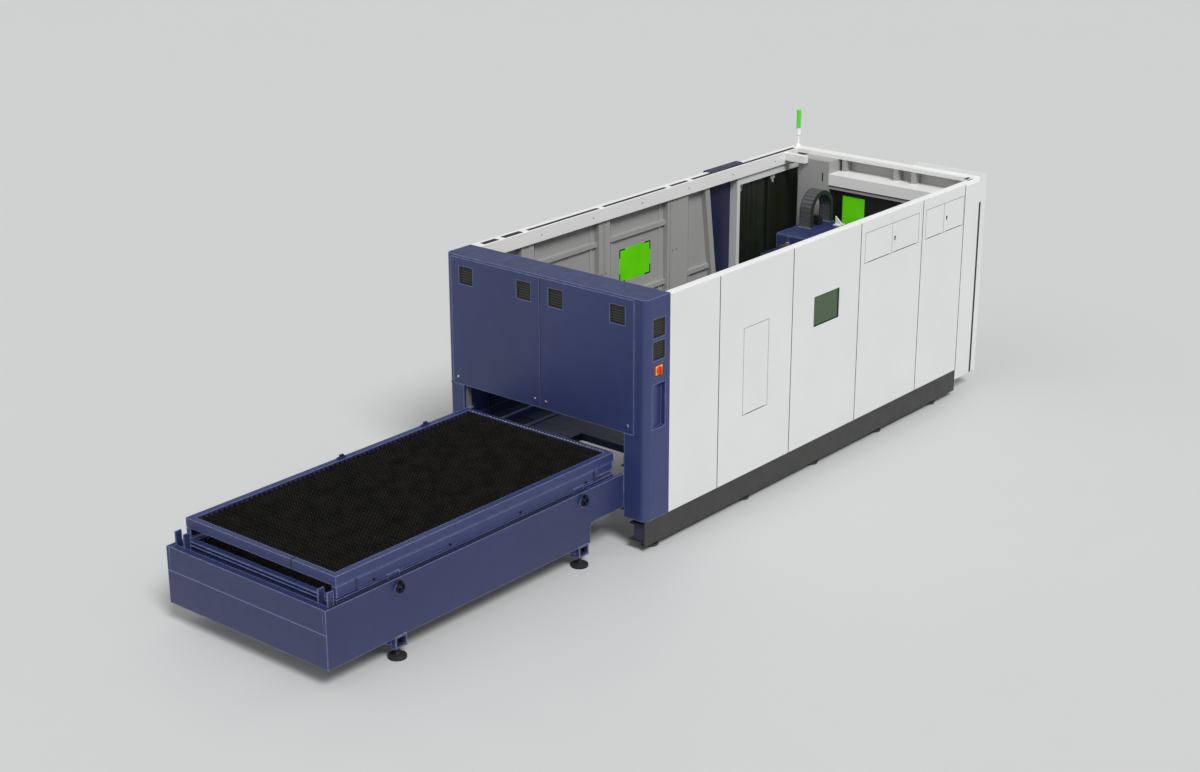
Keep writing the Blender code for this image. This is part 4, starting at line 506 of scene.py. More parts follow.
class Bench:
    """Modelling moves, each made with Blender's own operators."""

    @staticmethod
    def clear() -> None:
        """Go to object mode with nothing selected."""
        if bpy.context.mode != "OBJECT":
            bpy.ops.object.mode_set(mode="OBJECT")
        bpy.ops.object.select_all(action="DESELECT")

    @staticmethod
    def hold(*items: Item) -> Item:
        """Select only these pieces, the first one active.

        Args:
            items: pieces to select.

        Returns:
            The first of them.
        """
        Bench.clear()
        for item in items:
            item.select_set(True)
        bpy.context.view_layer.objects.active = items[0]
        return items[0]

    @staticmethod
    def settle() -> Item:
        """Put the new primitive's place, turn and size into its mesh.

        Returns:
            The primitive.
        """
        item = Bench.hold(bpy.context.active_object)
        bpy.ops.object.transform_apply(location=True, rotation=True, scale=True)
        return item

    @staticmethod
    def block(low: Point, high: Point, round_mm: float = 1.0, steps: int = 1) -> Item:
        """Make a block between two corners with its edges rounded.

        Args:
            low: lowest corner.
            high: highest corner.
            round_mm: width of the rounded edges; 0 leaves them for later shaping.
            steps: segments of the rounding.

        Returns:
            The block, with its place in its mesh.
        """
        Bench.clear()
        low, high = Vector(low), Vector(high)
        bpy.ops.mesh.primitive_cube_add(size=1.0, location=(low + high) / 2, scale=high - low)
        item = Bench.settle()
        return Bench.soften(item, round_mm, steps) if round_mm else item

    @staticmethod
    def drum(centre: Point, radius: float, depth: float, axis: Axis = Axis.Z, sides: int = 24,
             round_mm: float = 0.8) -> Item:
        """Make a round bar about a centre with its rims rounded.

        Args:
            centre: middle of the bar.
            radius: its radius.
            depth: its whole length along the axis.
            axis: the way that it points.
            sides: flats round it; 6 makes a nut.
            round_mm: width of the rounded rims.

        Returns:
            The bar, smooth where it is round.
        """
        Bench.clear()
        bpy.ops.mesh.primitive_cylinder_add(vertices=sides, radius=radius, depth=depth, location=centre,
                                            rotation=axis.value)
        item = Bench.settle()
        if round_mm:
            Bench.soften(item, round_mm)
        return Bench.smooth(item) if sides > 8 else item

    @staticmethod
    def ring(centre: Point, radius: float, bar: float, axis: Axis = Axis.Z, sides: int = 20) -> Item:
        """Make a ring of round bar about a centre.

        Args:
            centre: middle of the ring.
            radius: from there to the middle of the bar.
            bar: the bar's radius.
            axis: the way that the ring faces.
            sides: segments round it.

        Returns:
            The ring.
        """
        Bench.clear()
        bpy.ops.mesh.primitive_torus_add(location=centre, rotation=axis.value, major_segments=sides,
                                         minor_segments=8, major_radius=radius, minor_radius=bar)
        return Bench.smooth(Bench.settle())

    @staticmethod
    def modify(item: Item, kind: str, **settings: Any) -> Item:
        """Add a modifier to a piece and apply it.

        Args:
            item: the piece.
            kind: Blender's type name of the modifier.
            settings: properties of the modifier.

        Returns:
            The same piece.
        """
        Bench.hold(item)
        step = item.modifiers.new("step", kind)
        for name, value in settings.items():
            setattr(step, name, value)
        bpy.ops.object.modifier_apply(modifier=step.name)
        return item

    @staticmethod
    def soften(item: Item, round_mm: float, steps: int = 1) -> Item:
        """Round a piece's sharp edges."""
        return Bench.modify(item, "BEVEL", width=round_mm / 1000, segments=steps, limit_method="ANGLE",
                            angle_limit=ROUND_ANGLE)

    @staticmethod
    def row(item: Item, count: int, step: Point, **settings: Any) -> Item:
        """Repeat a piece in a row, inside its own mesh."""
        return Bench.modify(item, "ARRAY", count=count, use_relative_offset=False, use_constant_offset=True,
                            constant_offset_displace=step, **settings)

    @staticmethod
    def smooth(item: Item) -> Item:
        """Shade a piece smooth where its faces meet at a small angle.

        Args:
            item: the piece.

        Returns:
            The same piece.
        """
        Bench.hold(item)
        bpy.ops.object.shade_smooth_by_angle(angle=SMOOTH_ANGLE)
        return item

    @staticmethod
    @contextmanager
    def faces(item: Item, test: Test) -> Iterator[None]:
        """Work in edit mode with the faces selected that pass a test.

        Args:
            item: the piece.
            test: True for each face that is wanted.

        Returns:
            A context in which operators act on those faces.
        """
        Bench.hold(item)
        bpy.ops.object.mode_set(mode="EDIT")
        bpy.ops.mesh.select_mode(type="FACE")
        bpy.ops.mesh.select_all(action="DESELECT")
        mesh = bmesh.from_edit_mesh(item.data)
        for face in mesh.faces:
            face.select_set(bool(test(face)))
        bmesh.update_edit_mesh(item.data)
        yield
        bpy.ops.object.mode_set(mode="OBJECT")

    @staticmethod
    def lift(item: Item, kind: str, test: Callable[[Any], bool], move: Point) -> None:
        """Move the corners or edges that pass a test.

        Args:
            item: the piece.
            kind: VERT or EDGE.
            test: True for each corner or edge that is wanted.
            move: how far they go.
        """
        with Bench.faces(item, lambda face: False):
            bpy.ops.mesh.select_mode(type=kind)
            mesh = bmesh.from_edit_mesh(item.data)
            for element in mesh.verts if kind == "VERT" else mesh.edges:
                element.select_set(test(element))
            bmesh.update_edit_mesh(item.data)
            bpy.ops.transform.translate(value=move)

    @staticmethod
    def sink(item: Item, test: Test, margin: float, push: Point) -> Item:
        """Inset the chosen faces and push the middles in or out.

        Args:
            item: the piece.
            test: True for each face that is wanted.
            margin: width of the rim that stays.
            push: how far the middles move.

        Returns:
            The same piece.
        """
        with Bench.faces(item, test):
            bpy.ops.mesh.inset(thickness=margin, use_individual=True)
            bpy.ops.mesh.extrude_region_move(TRANSFORM_OT_translate={"value": push})
        return item

    @staticmethod
    def copy(item: Item, matrix: Matrix) -> Item:
        """Copy a piece with a mesh of its own and move that mesh.

        Args:
            item: the piece.
            matrix: the move.

        Returns:
            The copy.
        """
        twin = item.copy()
        twin.data = item.data.copy()
        bpy.context.collection.objects.link(twin)
        twin.data.transform(matrix)
        return twin

    @staticmethod
    def join(items: list[Item]) -> Item:
        """Join pieces into one.

        Args:
            items: the pieces.

        Returns:
            The joined piece.
        """
        item = Bench.hold(*items)
        if len(items) > 1:
            bpy.ops.object.join()
        return item

    @staticmethod
    def repeat(item: Item, matrices: Iterable[Matrix]) -> list[Item]:
        """Copy a model to each place; the model itself goes.

        Args:
            item: the model, made at its own place.
            matrices: one move for each copy.

        Returns:
            The copies.
        """
        twins = [Bench.copy(item, matrix) for matrix in matrices]
        bpy.data.objects.remove(item)
        return twins

    @staticmethod
    def surround(low: Point, high: Point, bar: float, round_mm: float = 0.8) -> list[Item]:
        """Make a rectangular rim: four bars inside a thin box that lies in X-Z or Y-Z.

        Args:
            low: lowest outer corner.
            high: highest outer corner.
            bar: width of each bar.
            round_mm: rounding of the bars' edges.

        Returns:
            The four bars.
        """
        across = 0 if high[0] - low[0] > high[1] - low[1] else 1
        parts = []
        for axis, end in ((across, 0), (across, 1), (2, 0), (2, 1)):
            a, b = list(low), list(high)
            if end:
                a[axis] = high[axis] - bar
            else:
                b[axis] = low[axis] + bar
            if axis == 2:
                a[across] += bar
                b[across] -= bar
            parts.append(Bench.block(tuple(a), tuple(b), round_mm))
        return parts


def shift(x: float = 0.0, y: float = 0.0, z: float = 0.0) -> Matrix:
    """Give a move as a matrix."""
    return Matrix.Translation((x, y, z))


def facing(axis: int, sign: int) -> Test:
    """Give a test for the faces that look along an axis."""
    return lambda face: face.normal[axis] * sign > SQUARE_ON


def reach(side: int, inner: float, outer: float) -> list[float]:
    """Give the lower and the higher Y between two distances out to one side."""
    return sorted((side * inner, side * outer))


@dataclass
class SubAssembly:
    """A group of pieces; it builds them, dresses them and hangs them on the CAD's bodies."""

    rack: dict[str, bpy.types.Material]
    pieces: list[str] = field(default_factory=list)

    def material(self, finish: Finish) -> bpy.types.Material:
        """Give the one material of a finish, making it the first time.

        Args:
            finish: the surface that is wanted.

        Returns:
            Its material.
        """
        if finish.name not in self.rack:
            self.rack[finish.name] = finish.make()
        return self.rack[finish.name]

    def coat(self, finish: Finish, *nodes: str) -> None:
        """Give CAD nodes a finish in their own slots.

        Args:
            finish: the surface.
            nodes: names of the nodes.
        """
        for name in nodes:
            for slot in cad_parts[name].material_slots:
                slot.material = self.material(finish)

    def hang(self, name: str, items: list[Item], slot: str, finish: Finish, body: str = "machine",
             *replaced: str) -> None:
        """Join and dress a piece and let it ride on a body.

        Args:
            name: name of the piece.
            items: its parts, their places in their meshes.
            slot: the record's slot that its finish belongs to; not used.
            finish: its surface.
            body: CAD body that carries it.
            replaced: CAD nodes that it stands for.
        """
        item = Bench.join(items)
        item.name = item.data.name = name
        item.data.materials.clear()
        item.data.materials.append(self.material(finish))
        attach(item, body)
        if replaced:
            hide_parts(*replaced)
        self.pieces.append(item.name)

    def plates(self, name: str, spans: Iterable[tuple[Point, Point]], round_mm: float, slot: str, finish: Finish,
               body: str = "machine") -> None:
        """Make a piece of plain blocks and hang it.

        Args:
            name: name of the piece.
            spans: lowest and highest corner of each block.
            round_mm: rounding of their edges.
            slot: the record's slot that its finish belongs to.
            finish: its surface.
            body: CAD body that carries it.
        """
        self.hang(name, [Bench.block(low, high, round_mm) for low, high in spans], slot, finish, body)

    def build(self) -> None:
        """Make every piece of the group."""
        raise NotImplementedError


# Exchange table and pallets


@dataclass
class ExchangeTable(SubAssembly):
    """The welded base under the pallets: lifting eyes, leg boxes, bolts and feet."""

    leg_x: Pair = (-3.660, -1.550)
    leg_y: float = 0.851
    half: float = 0.891
    wall_x: Pair = (-4.340, -1.480)
    wall_z: Pair = (0.6675, 0.6694)
    screw_gap: float = 0.028

    def build(self) -> None:
        """Dress the base and add its fittings."""
        self.coat(FOLDED_COAT, "table_base")
        self.coat(RUBBER, *(f"table_foot_{side}_{number}" for side in ("near", "far") for number in (1, 2)))
        self.lifting_rings()
        self.leg_fittings()
        # Black strips on the tops of the side walls paint the shadow in the gap beside the lift rails
        (x0, x1), (z0, z1) = self.wall_x, self.wall_z
        walls = [reach(side, self.half - 0.031, self.half - 0.007) for side in SIDES]
        self.plates("table_wall_shadow_strips", [((x0, y0, z0), (x1, y1, z1)) for y0, y1 in walls], 0.6, "table_base", RUBBER)

    def lifting_rings(self) -> None:
        """Swivel rings with their pins and caps, hung in the four welded eyes."""
        parts = []
        for side in SIDES:
            for x in self.leg_x:
                parts.append(Bench.ring((x, side * (self.half + 0.026), 0.596), 0.034, 0.010, Axis.Y))
                parts.append(Bench.drum((x, side * (self.half + 0.020), 0.575), 0.017, 0.034, Axis.Y, 12))
                parts.append(Bench.drum((x, side * (self.half + 0.030), 0.640), 0.015, 0.028, Axis.Y, 12))
        self.hang("lifting_rings", parts, "table_base", BLACK_OXIDE)

    def leg_fittings(self) -> None:
        """Black plates that paint the shade inside the leg boxes, the feet's lock nuts and the screws in the boxes'
        mouths.
        """
        mouth_shade = Bench.block((-0.047, -0.030, 0.1125), (0.047, 0.0, 0.1845), 0)
        Bench.sink(mouth_shade, facing(1, -1), 0.004, (0.0, 0.024, 0.0))
        nut = Bench.drum((0.0, 0.0, 0.089), 0.029, 0.020, Axis.Z, 6)
        screw = Bench.drum((0.0, 0.0, 0.140), 0.009, 0.012, Axis.Y, 6)
        mouth_shades, nuts, screws = [], [], []
        for side in SIDES:
            turn = Matrix.Rotation(math.pi, 4, "Z") if side > 0 else Matrix.Identity(4)
            for x in self.leg_x:
                mouth_shades.append(shift(x, side * (self.half - 0.048)) @ turn)
                nuts.append(shift(x, side * self.leg_y))
                screws += [shift(x + dx, side * (self.half - 0.020)) for dx in (-self.screw_gap, self.screw_gap)]
        self.hang("leg_mouth_shade", Bench.repeat(mouth_shade, mouth_shades), "table_base", BLACK_COAT)
        self.hang("foot_nuts", Bench.repeat(nut, nuts), "table_base", BLACK_OXIDE)
        self.hang("leg_screws", Bench.repeat(screw, screws), "table_base", BLACK_OXIDE)


@dataclass
class Pallets(SubAssembly):
    """Two slat pallets: serrated slats in comb bars, studs, seams and clamps."""

    start: float = -4.227
    end: float = -1.090
    half: float = 0.776
    side_half: float = 0.836
    top: float = 0.865
    drop: float = 0.187
    slat_count: int = 60
    slat_gap: float = 0.067
    tooth_count: int = 44
    comb_count: int = 3
    thickness: float = 0.003
    foot: float = 0.7945
    root: float = 0.850
    tip: float = 0.8715
    rail_z: Pair = (0.6925, 0.7800)
    clamp_x: Pair = (-2.612, -1.631)
    bolt_x: tuple[float, ...] = (-3.854, -3.050, -2.250, -1.450)

    def build(self) -> None:
        """Dress the frames and lay the slats and trim of both pallets."""
        self.coat(BLUE_COAT, "upper_pallet_frame", "lower_pallet_frame", "lift_frame")
        # Dark joint in the end beam where its two lengths meet, and a dark strip behind the studs that paints shadow on
        # the end beam's top
        seam = Bench.block((self.start - 0.0008, -0.3665, 0.7885), (self.start + 0.061, -0.3545, 0.8657), 0.4)
        shadow_strip = Bench.block((self.end - 0.033, -self.half, self.top - 0.0005),
                            (self.end - 0.001, self.half, self.top + 0.0018), 0.8)
        models = (
            ("slats", self.slats(), "slats", SLAT_STEEL), ("comb_bars", self.comb_bars(), "slats", SLAT_STEEL),
            ("tooth_studs", self.studs(), "slats", ZINC), ("end_seam", seam, "frame", RUBBER),
            ("end_shadow_strip", shadow_strip, "frame", BLUE_PAINTED_SHADE), ("end_skirts", self.end_skirts(), "frame", BLUE_COAT),
        )
        for level, drop in (("upper", 0.0), ("lower", self.drop)):
            pallet = f"{level}_pallet"
            for name, model, node, finish in models:
                replaced = [f"{pallet}_slats"] if name == "slats" else []
                twin = Bench.copy(model, shift(z=-drop))
                self.hang(f"{level}_{name}", [twin], f"{pallet}_{node}", finish, pallet, *replaced)
        for _, model, _, _ in models:
            bpy.data.objects.remove(model)
        # Two flanges that make the lower pallet's end beam a channel
        top = self.top - self.drop
        self.plates("end_channel", [((self.start - 0.010, -0.800, z0), (self.start + 0.001, 0.800, z1))
                                    for z0, z1 in ((top - 0.006, top - 0.0005), (top - 0.036, top - 0.030))],
                    1.0, "lower_pallet_frame", BLUE_COAT, "lower_pallet")
        self.clamps()
        self.rail_fittings()

    def slats(self) -> Item:
        """Serrated slats: one tooth is shaped, then repeated across and along the pallet.

        Returns:
            All slats of the upper pallet.
        """
        pitch = 2 * (self.half - 0.002) / self.tooth_count
        x0 = self.start + self.slat_gap
        y0 = -self.half + 0.002
        tooth = Bench.block((x0 - self.thickness / 2, y0, self.foot),
                            (x0 + self.thickness / 2, y0 + pitch, self.root), 0)
        with Bench.faces(tooth, lambda face: True):
            bpy.ops.mesh.bisect(plane_co=(x0, y0 + pitch / 2, 0), plane_no=(0, 1, 0))
        with Bench.faces(tooth, lambda face: abs(face.normal.y) > SQUARE_ON):
            bpy.ops.mesh.delete(type="ONLY_FACE")
        Bench.lift(tooth, "VERT", lambda v: v.co.z > self.root - 0.001 and abs(v.co.y - y0 - pitch / 2) < 0.001,
                   (0, 0, self.tip - self.root))
        Bench.row(tooth, self.tooth_count, (0, pitch, 0), use_merge_vertices=True, merge_threshold=0.0005)
        with Bench.faces(tooth, lambda face: False):
            bpy.ops.mesh.select_mode(type="EDGE")
            bpy.ops.mesh.select_non_manifold()
            bpy.ops.mesh.fill_holes(sides=4)
            bpy.ops.mesh.select_all(action="SELECT")
            bpy.ops.mesh.normals_make_consistent(inside=False)
        run = self.end - self.start - 2 * self.slat_gap
        return Bench.row(tooth, self.slat_count, (run / (self.slat_count - 1), 0, 0))

    def comb_bars(self) -> Item:
        """Three slotted bars along the pallet that keep the slats upright.

        Returns:
            The bars of the upper pallet.
        """
        spots = [self.half * (2 * (k + 1) / (self.comb_count + 1) - 1) for k in range(self.comb_count)]
        return Bench.join([Bench.block((self.start + 0.052, y - 0.004, self.foot + 0.001),
                                       (self.end - 0.052, y + 0.004, self.foot + 0.030)) for y in spots])

    def studs(self) -> Item:
        """Small bright studs along the end beam, one for each tooth row.

        Returns:
            The studs of the upper pallet.
        """
        pitch = 2 * self.half / self.tooth_count
        model = Bench.drum((self.end - 0.044, -self.half + pitch / 2, self.top + 0.0025), 0.0085, 0.007, Axis.Z, 8, 1.5)
        return Bench.join(Bench.repeat(model, [shift(y=k * pitch) for k in range(self.tooth_count)]))

    def end_skirts(self) -> Item:
        """Folded side plates that hang under the side beams at the loading end.

        Returns:
            The plates of the upper pallet.
        """
        parts = []
        for side in SIDES:
            y0, y1 = reach(side, 0.8230, 0.8290)
            plate = Bench.block((-1.3120, y0, 0.7040), (self.end - 0.0010, y1, 0.7868), 0)
            Bench.sink(plate, facing(1, side), 0.010, (0.0, -side * 0.0015, 0.0))
            parts.append(Bench.soften(plate, 0.6))
        return Bench.join(parts)

    def clamps(self) -> None:
        """Sheet clamps on the upper pallet's far side beam."""
        parts = []
        for x in self.clamp_x:
            parts.append(Bench.block((x - 0.045, self.side_half - 0.030, self.top),
                                     (x + 0.045, self.side_half - 0.004, self.top + 0.010), 2.0))
            parts.append(Bench.block((x - 0.022, self.side_half - 0.026, self.top + 0.008),
                                     (x + 0.022, self.side_half - 0.010, self.top + 0.030), 4.0, 2))
        # Clamps in the darker blue of painted shade
        self.hang("upper_side_clamps", parts, "upper_pallet_frame", BLUE_PAINTED_SHADE, "upper_pallet")

    def rail_fittings(self) -> None:
        """Hex bolts along both lift rails, bolted plates over their ends and the noses that carry them on."""
        bolt = Bench.drum((0.0, 0.0, 0.712), 0.010, 0.012, Axis.Y, 6)
        z0, z1 = self.rail_z
        bolts, ends, noses = [], [], []
        for side in SIDES:
            bolts += [shift(x, side * (self.side_half + 0.006)) for x in self.bolt_x]
            y0, y1 = reach(side, 0.8385, 0.846)
            for x in (-4.030, -1.340):
                ends.append(Bench.block((x - 0.012, y0, z0), (x + 0.012, y1, z1 - 0.0005), 1.5))
                ends.append(Bench.drum((x, side * 0.848, 0.736), 0.007, 0.006, Axis.Y, 12))
            y0, y1 = reach(side, 0.8300, 0.8375)
            noses.append(((self.start + 0.0015, y0, z0), (-4.0405, y1, z1)))
            y0, y1 = reach(side, 0.7900, 0.8372)
            noses.append(((self.start + 0.0005, y0, z0), (self.start + 0.0085, y1, z1)))
        self.hang("rail_bolts", Bench.repeat(bolt, bolts), "lift_frame", BLACK_OXIDE, "lift")
        # Rail end plates in the darker blue of painted shade
        self.hang("rail_ends", ends, "lift_frame", BLUE_PAINTED_SHADE, "lift")
        self.plates("rail_noses", noses, 1.0, "lift_frame", BLUE_COAT, "lift")


# Portal


@dataclass
class Portal(SubAssembly):
    """The blue portal: flaps, vents, locks and the main switch."""

    front: float = -1.017
    side: float = 1.117
    switch_x: float = -0.845
    switch_z: float = 1.587
    deck_x: Pair = (-0.985, -0.230)
    deck_z: float = 0.6885
    covers_y: tuple[Pair, ...] = ((0.345, 0.592), (0.632, 0.790))
    rails_y: tuple[Pair, ...] = ((0.300, 0.340), (0.597, 0.627))
    notches_y: tuple[Pair, ...] = ((-1.050, -0.991), (1.057, 1.095))

    def build(self) -> None:
        """Dress the portal and add its joints, the deck behind it and the switch's trim."""
        self.coat(BLUE_COAT, "portal_frame", "front_flap_near", "front_flap_far")
        self.coat(GRILLE, "side_vent_1", "side_vent_2")
        for label in ("near", "far"):
            for number in (1, 2):
                self.coat(GRILLE, f"front_vent_{label}_{number}")
                self.coat(ZINC, f"flap_lock_{label}_{number}")
        self.coat(SWITCH_ORANGE, "switch_plate")
        self.coat(SWITCH_RED, "switch_handle")
        self.coat(GREY_COAT, "loading_shutter")
        x = self.front
        # Black rubber lip down the meeting edge of the flaps
        lip = ((x - 0.0006, 0.0265, 1.0320), (x + 0.0250, 0.0345, 2.1930))
        self.plates("flap_lip", [lip], 0.3, "front_flap_near", RUBBER, "flap_near")
        # Short dark joints where the flaps' lower edges meet the legs
        notches = [((x - 0.0004, y0, 1.0255), (x + 0.004, y1, 1.0325)) for y0, y1 in self.notches_y]
        self.plates("leg_notches", notches, 0.3, "portal_frame", RUBBER)
        # Dark pressed plates behind the opening that paint the shade deep in the bed, and the low rails beside them
        self.pressed("deck_shade_plates", self.covers_y, 0.6975, 0.012, 0.004, 0.8, BLACK_COAT)
        self.pressed("deck_rails", self.rails_y, 0.7620, 0.006, 0.005, 1.2, BLUE_COAT)
        self.inner_post()
        self.switch_trim()

    def pressed(self, name: str, spans: tuple[Pair, ...], top: float, rim: float, depth: float, round_mm: float,
                finish: Finish) -> None:
        """Lay long pieces with dished tops on the deck.

        Args:
            name: name of the piece.
            spans: lower and higher Y of each.
            top: height of their tops.
            rim: width of the rim round the dish.
            depth: depth of the dish.
            round_mm: rounding of the edges.
            finish: their surface.
        """
        parts = []
        for y0, y1 in spans:
            part = Bench.block((self.deck_x[0], y0, self.deck_z), (self.deck_x[1], y1, top), 0)
            Bench.sink(part, facing(2, 1), rim, (0.0, 0.0, -depth))
            parts.append(Bench.soften(part, round_mm))
        self.hang(name, parts, "machine_bed", finish)

    def inner_post(self) -> None:
        """Grey guide post of the shutter inside the far leg."""
        post = Bench.block((-0.990, 0.9150, 0.8200), (-0.945, 0.9395, 1.0280), 0)
        Bench.sink(post, facing(0, -1), 0.006, (0.004, 0.0, 0.0))
        foot = Bench.block((-0.990, 0.9000, 0.8050), (-0.940, 0.9395, 0.8200))
        # The post in the darker grey of painted shade
        self.hang("shutter_post", [Bench.soften(post, 0.8), foot], "portal_frame", GREY_PAINTED_SHADE)

    def switch_trim(self) -> None:
        """Black rim round the switch's plate, the ring and stroke for off and on, and the handle's pointer."""
        x, y, z = self.switch_x, -self.side, self.switch_z
        rim = Bench.surround((x - 0.0595, y - 0.003, z - 0.0535), (x + 0.0595, y + 0.001, z + 0.0535), 0.012)
        self.hang("switch_bezel", rim, "switch_plate", GRILLE)
        face = y - 0.0008
        off = Bench.ring((x - 0.036, face, z + 0.030), 0.0045, 0.0010, Axis.Y, 12)
        on = Bench.block((x + 0.0345, face - 0.001, z + 0.024), (x + 0.0365, face + 0.001, z + 0.036), 0.2)
        self.hang("switch_marks", [off, on], "switch_plate", LAMP_WHITE)
        face = y - 0.0297
        pointer = ((x - 0.0015, face, z + 0.004), (x + 0.0015, face + 0.002, z + 0.027))
        self.plates("switch_pointer", [pointer], 0.4, "switch_handle", SWITCH_ORANGE, "main_switch")


# Cabin


@dataclass
class NearWall(SubAssembly):
    """White panels of the hatch side, with keyholes, seals and the window."""

    side: float = 1.117
    window: tuple[float, ...] = (1.397, 1.803, 1.382, 1.666)
    joint_x: tuple[float, ...] = (-0.020, 1.057, 2.134, 3.211, 3.9890)
    bead: float = 0.0048
    lock_z: float = 1.943
    locks: tuple[tuple[int, float], ...] = ((4, 2.716), (5, 3.652))
    hatches: tuple[tuple[float, ...], ...] = (
        (0.334, 0.700, 0.842, 1.642, 0.0), (2.208, 3.140, 1.797, 2.087, 2.670), (3.268, 3.972, 1.797, 2.087, 3.600),
    )

    def build(self) -> None:
        """Dress the panels and add the small fittings."""
        self.coat(WHITE_COAT, *(f"wall_panel_{k}" for k in range(1, 6)))
        self.coat(WHITE_COAT, "service_hatch", "hatch_4_front", "hatch_4_rear", "hatch_5_front", "hatch_5_rear")
        self.coat(DARK_PANE, "near_window")
        for number, x in self.locks:
            self.keyhole(number, x)
        # Black rubber round the window and beads in the joints between the panels
        x0, x1, z0, z1 = self.window
        gasket = Bench.surround((x0 + 0.0003, -1.1150, z0 + 0.0003), (x1 - 0.0003, -1.1070, z1 - 0.0003), 0.006)
        self.hang("near_window_gasket", gasket, "near_window", RUBBER)
        beads = [((x - self.bead, -self.side - 0.0006, 0.277), (x + self.bead, -1.1000, 2.193)) for x in self.joint_x]
        self.plates("panel_joint_beads", beads, 0.5, "wall_panel_3", RUBBER)
        self.hatch_rims()

    def hatch_rims(self) -> None:
        """Thin black seals round the hatch openings."""
        y0, y1 = -self.side - 0.0003, -1.1060
        parts = []
        for x0, x1, z0, z1, middle in self.hatches:
            parts += Bench.surround((x0 - 0.002, y0, z0 - 0.002), (x1 + 0.002, y1, z1 + 0.002), 0.004, 0.2)
            if middle:
                parts.append(Bench.block((middle - 0.002, y0, z0), (middle + 0.002, y1, z1), 0.2))
        self.hang("hatch_seals", parts, "wall_panel_4", RUBBER)

    def keyhole(self, number: int, x: float) -> None:
        """Hang a round cam lock in a hatch's rear leaf.

        Args:
            number: the hatch's number.
            x: centre along the machine.
        """
        y, z = -self.side, self.lock_z
        barrel = Bench.drum((x, y - 0.001, z), 0.011, 0.006, Axis.Y, 20)
        Bench.sink(barrel, facing(1, -1), 0.004, (0.0, 0.002, 0.0))
        plate = Bench.block((x - 0.009, y - 0.0012, z - 0.030), (x + 0.009, y, z - 0.012), 0.4)
        leaf = f"hatch_{number}_rear"
        self.hang(f"lock_{leaf}", [barrel, plate], leaf, BLACK_OXIDE, f"leaf_{number}_rear")


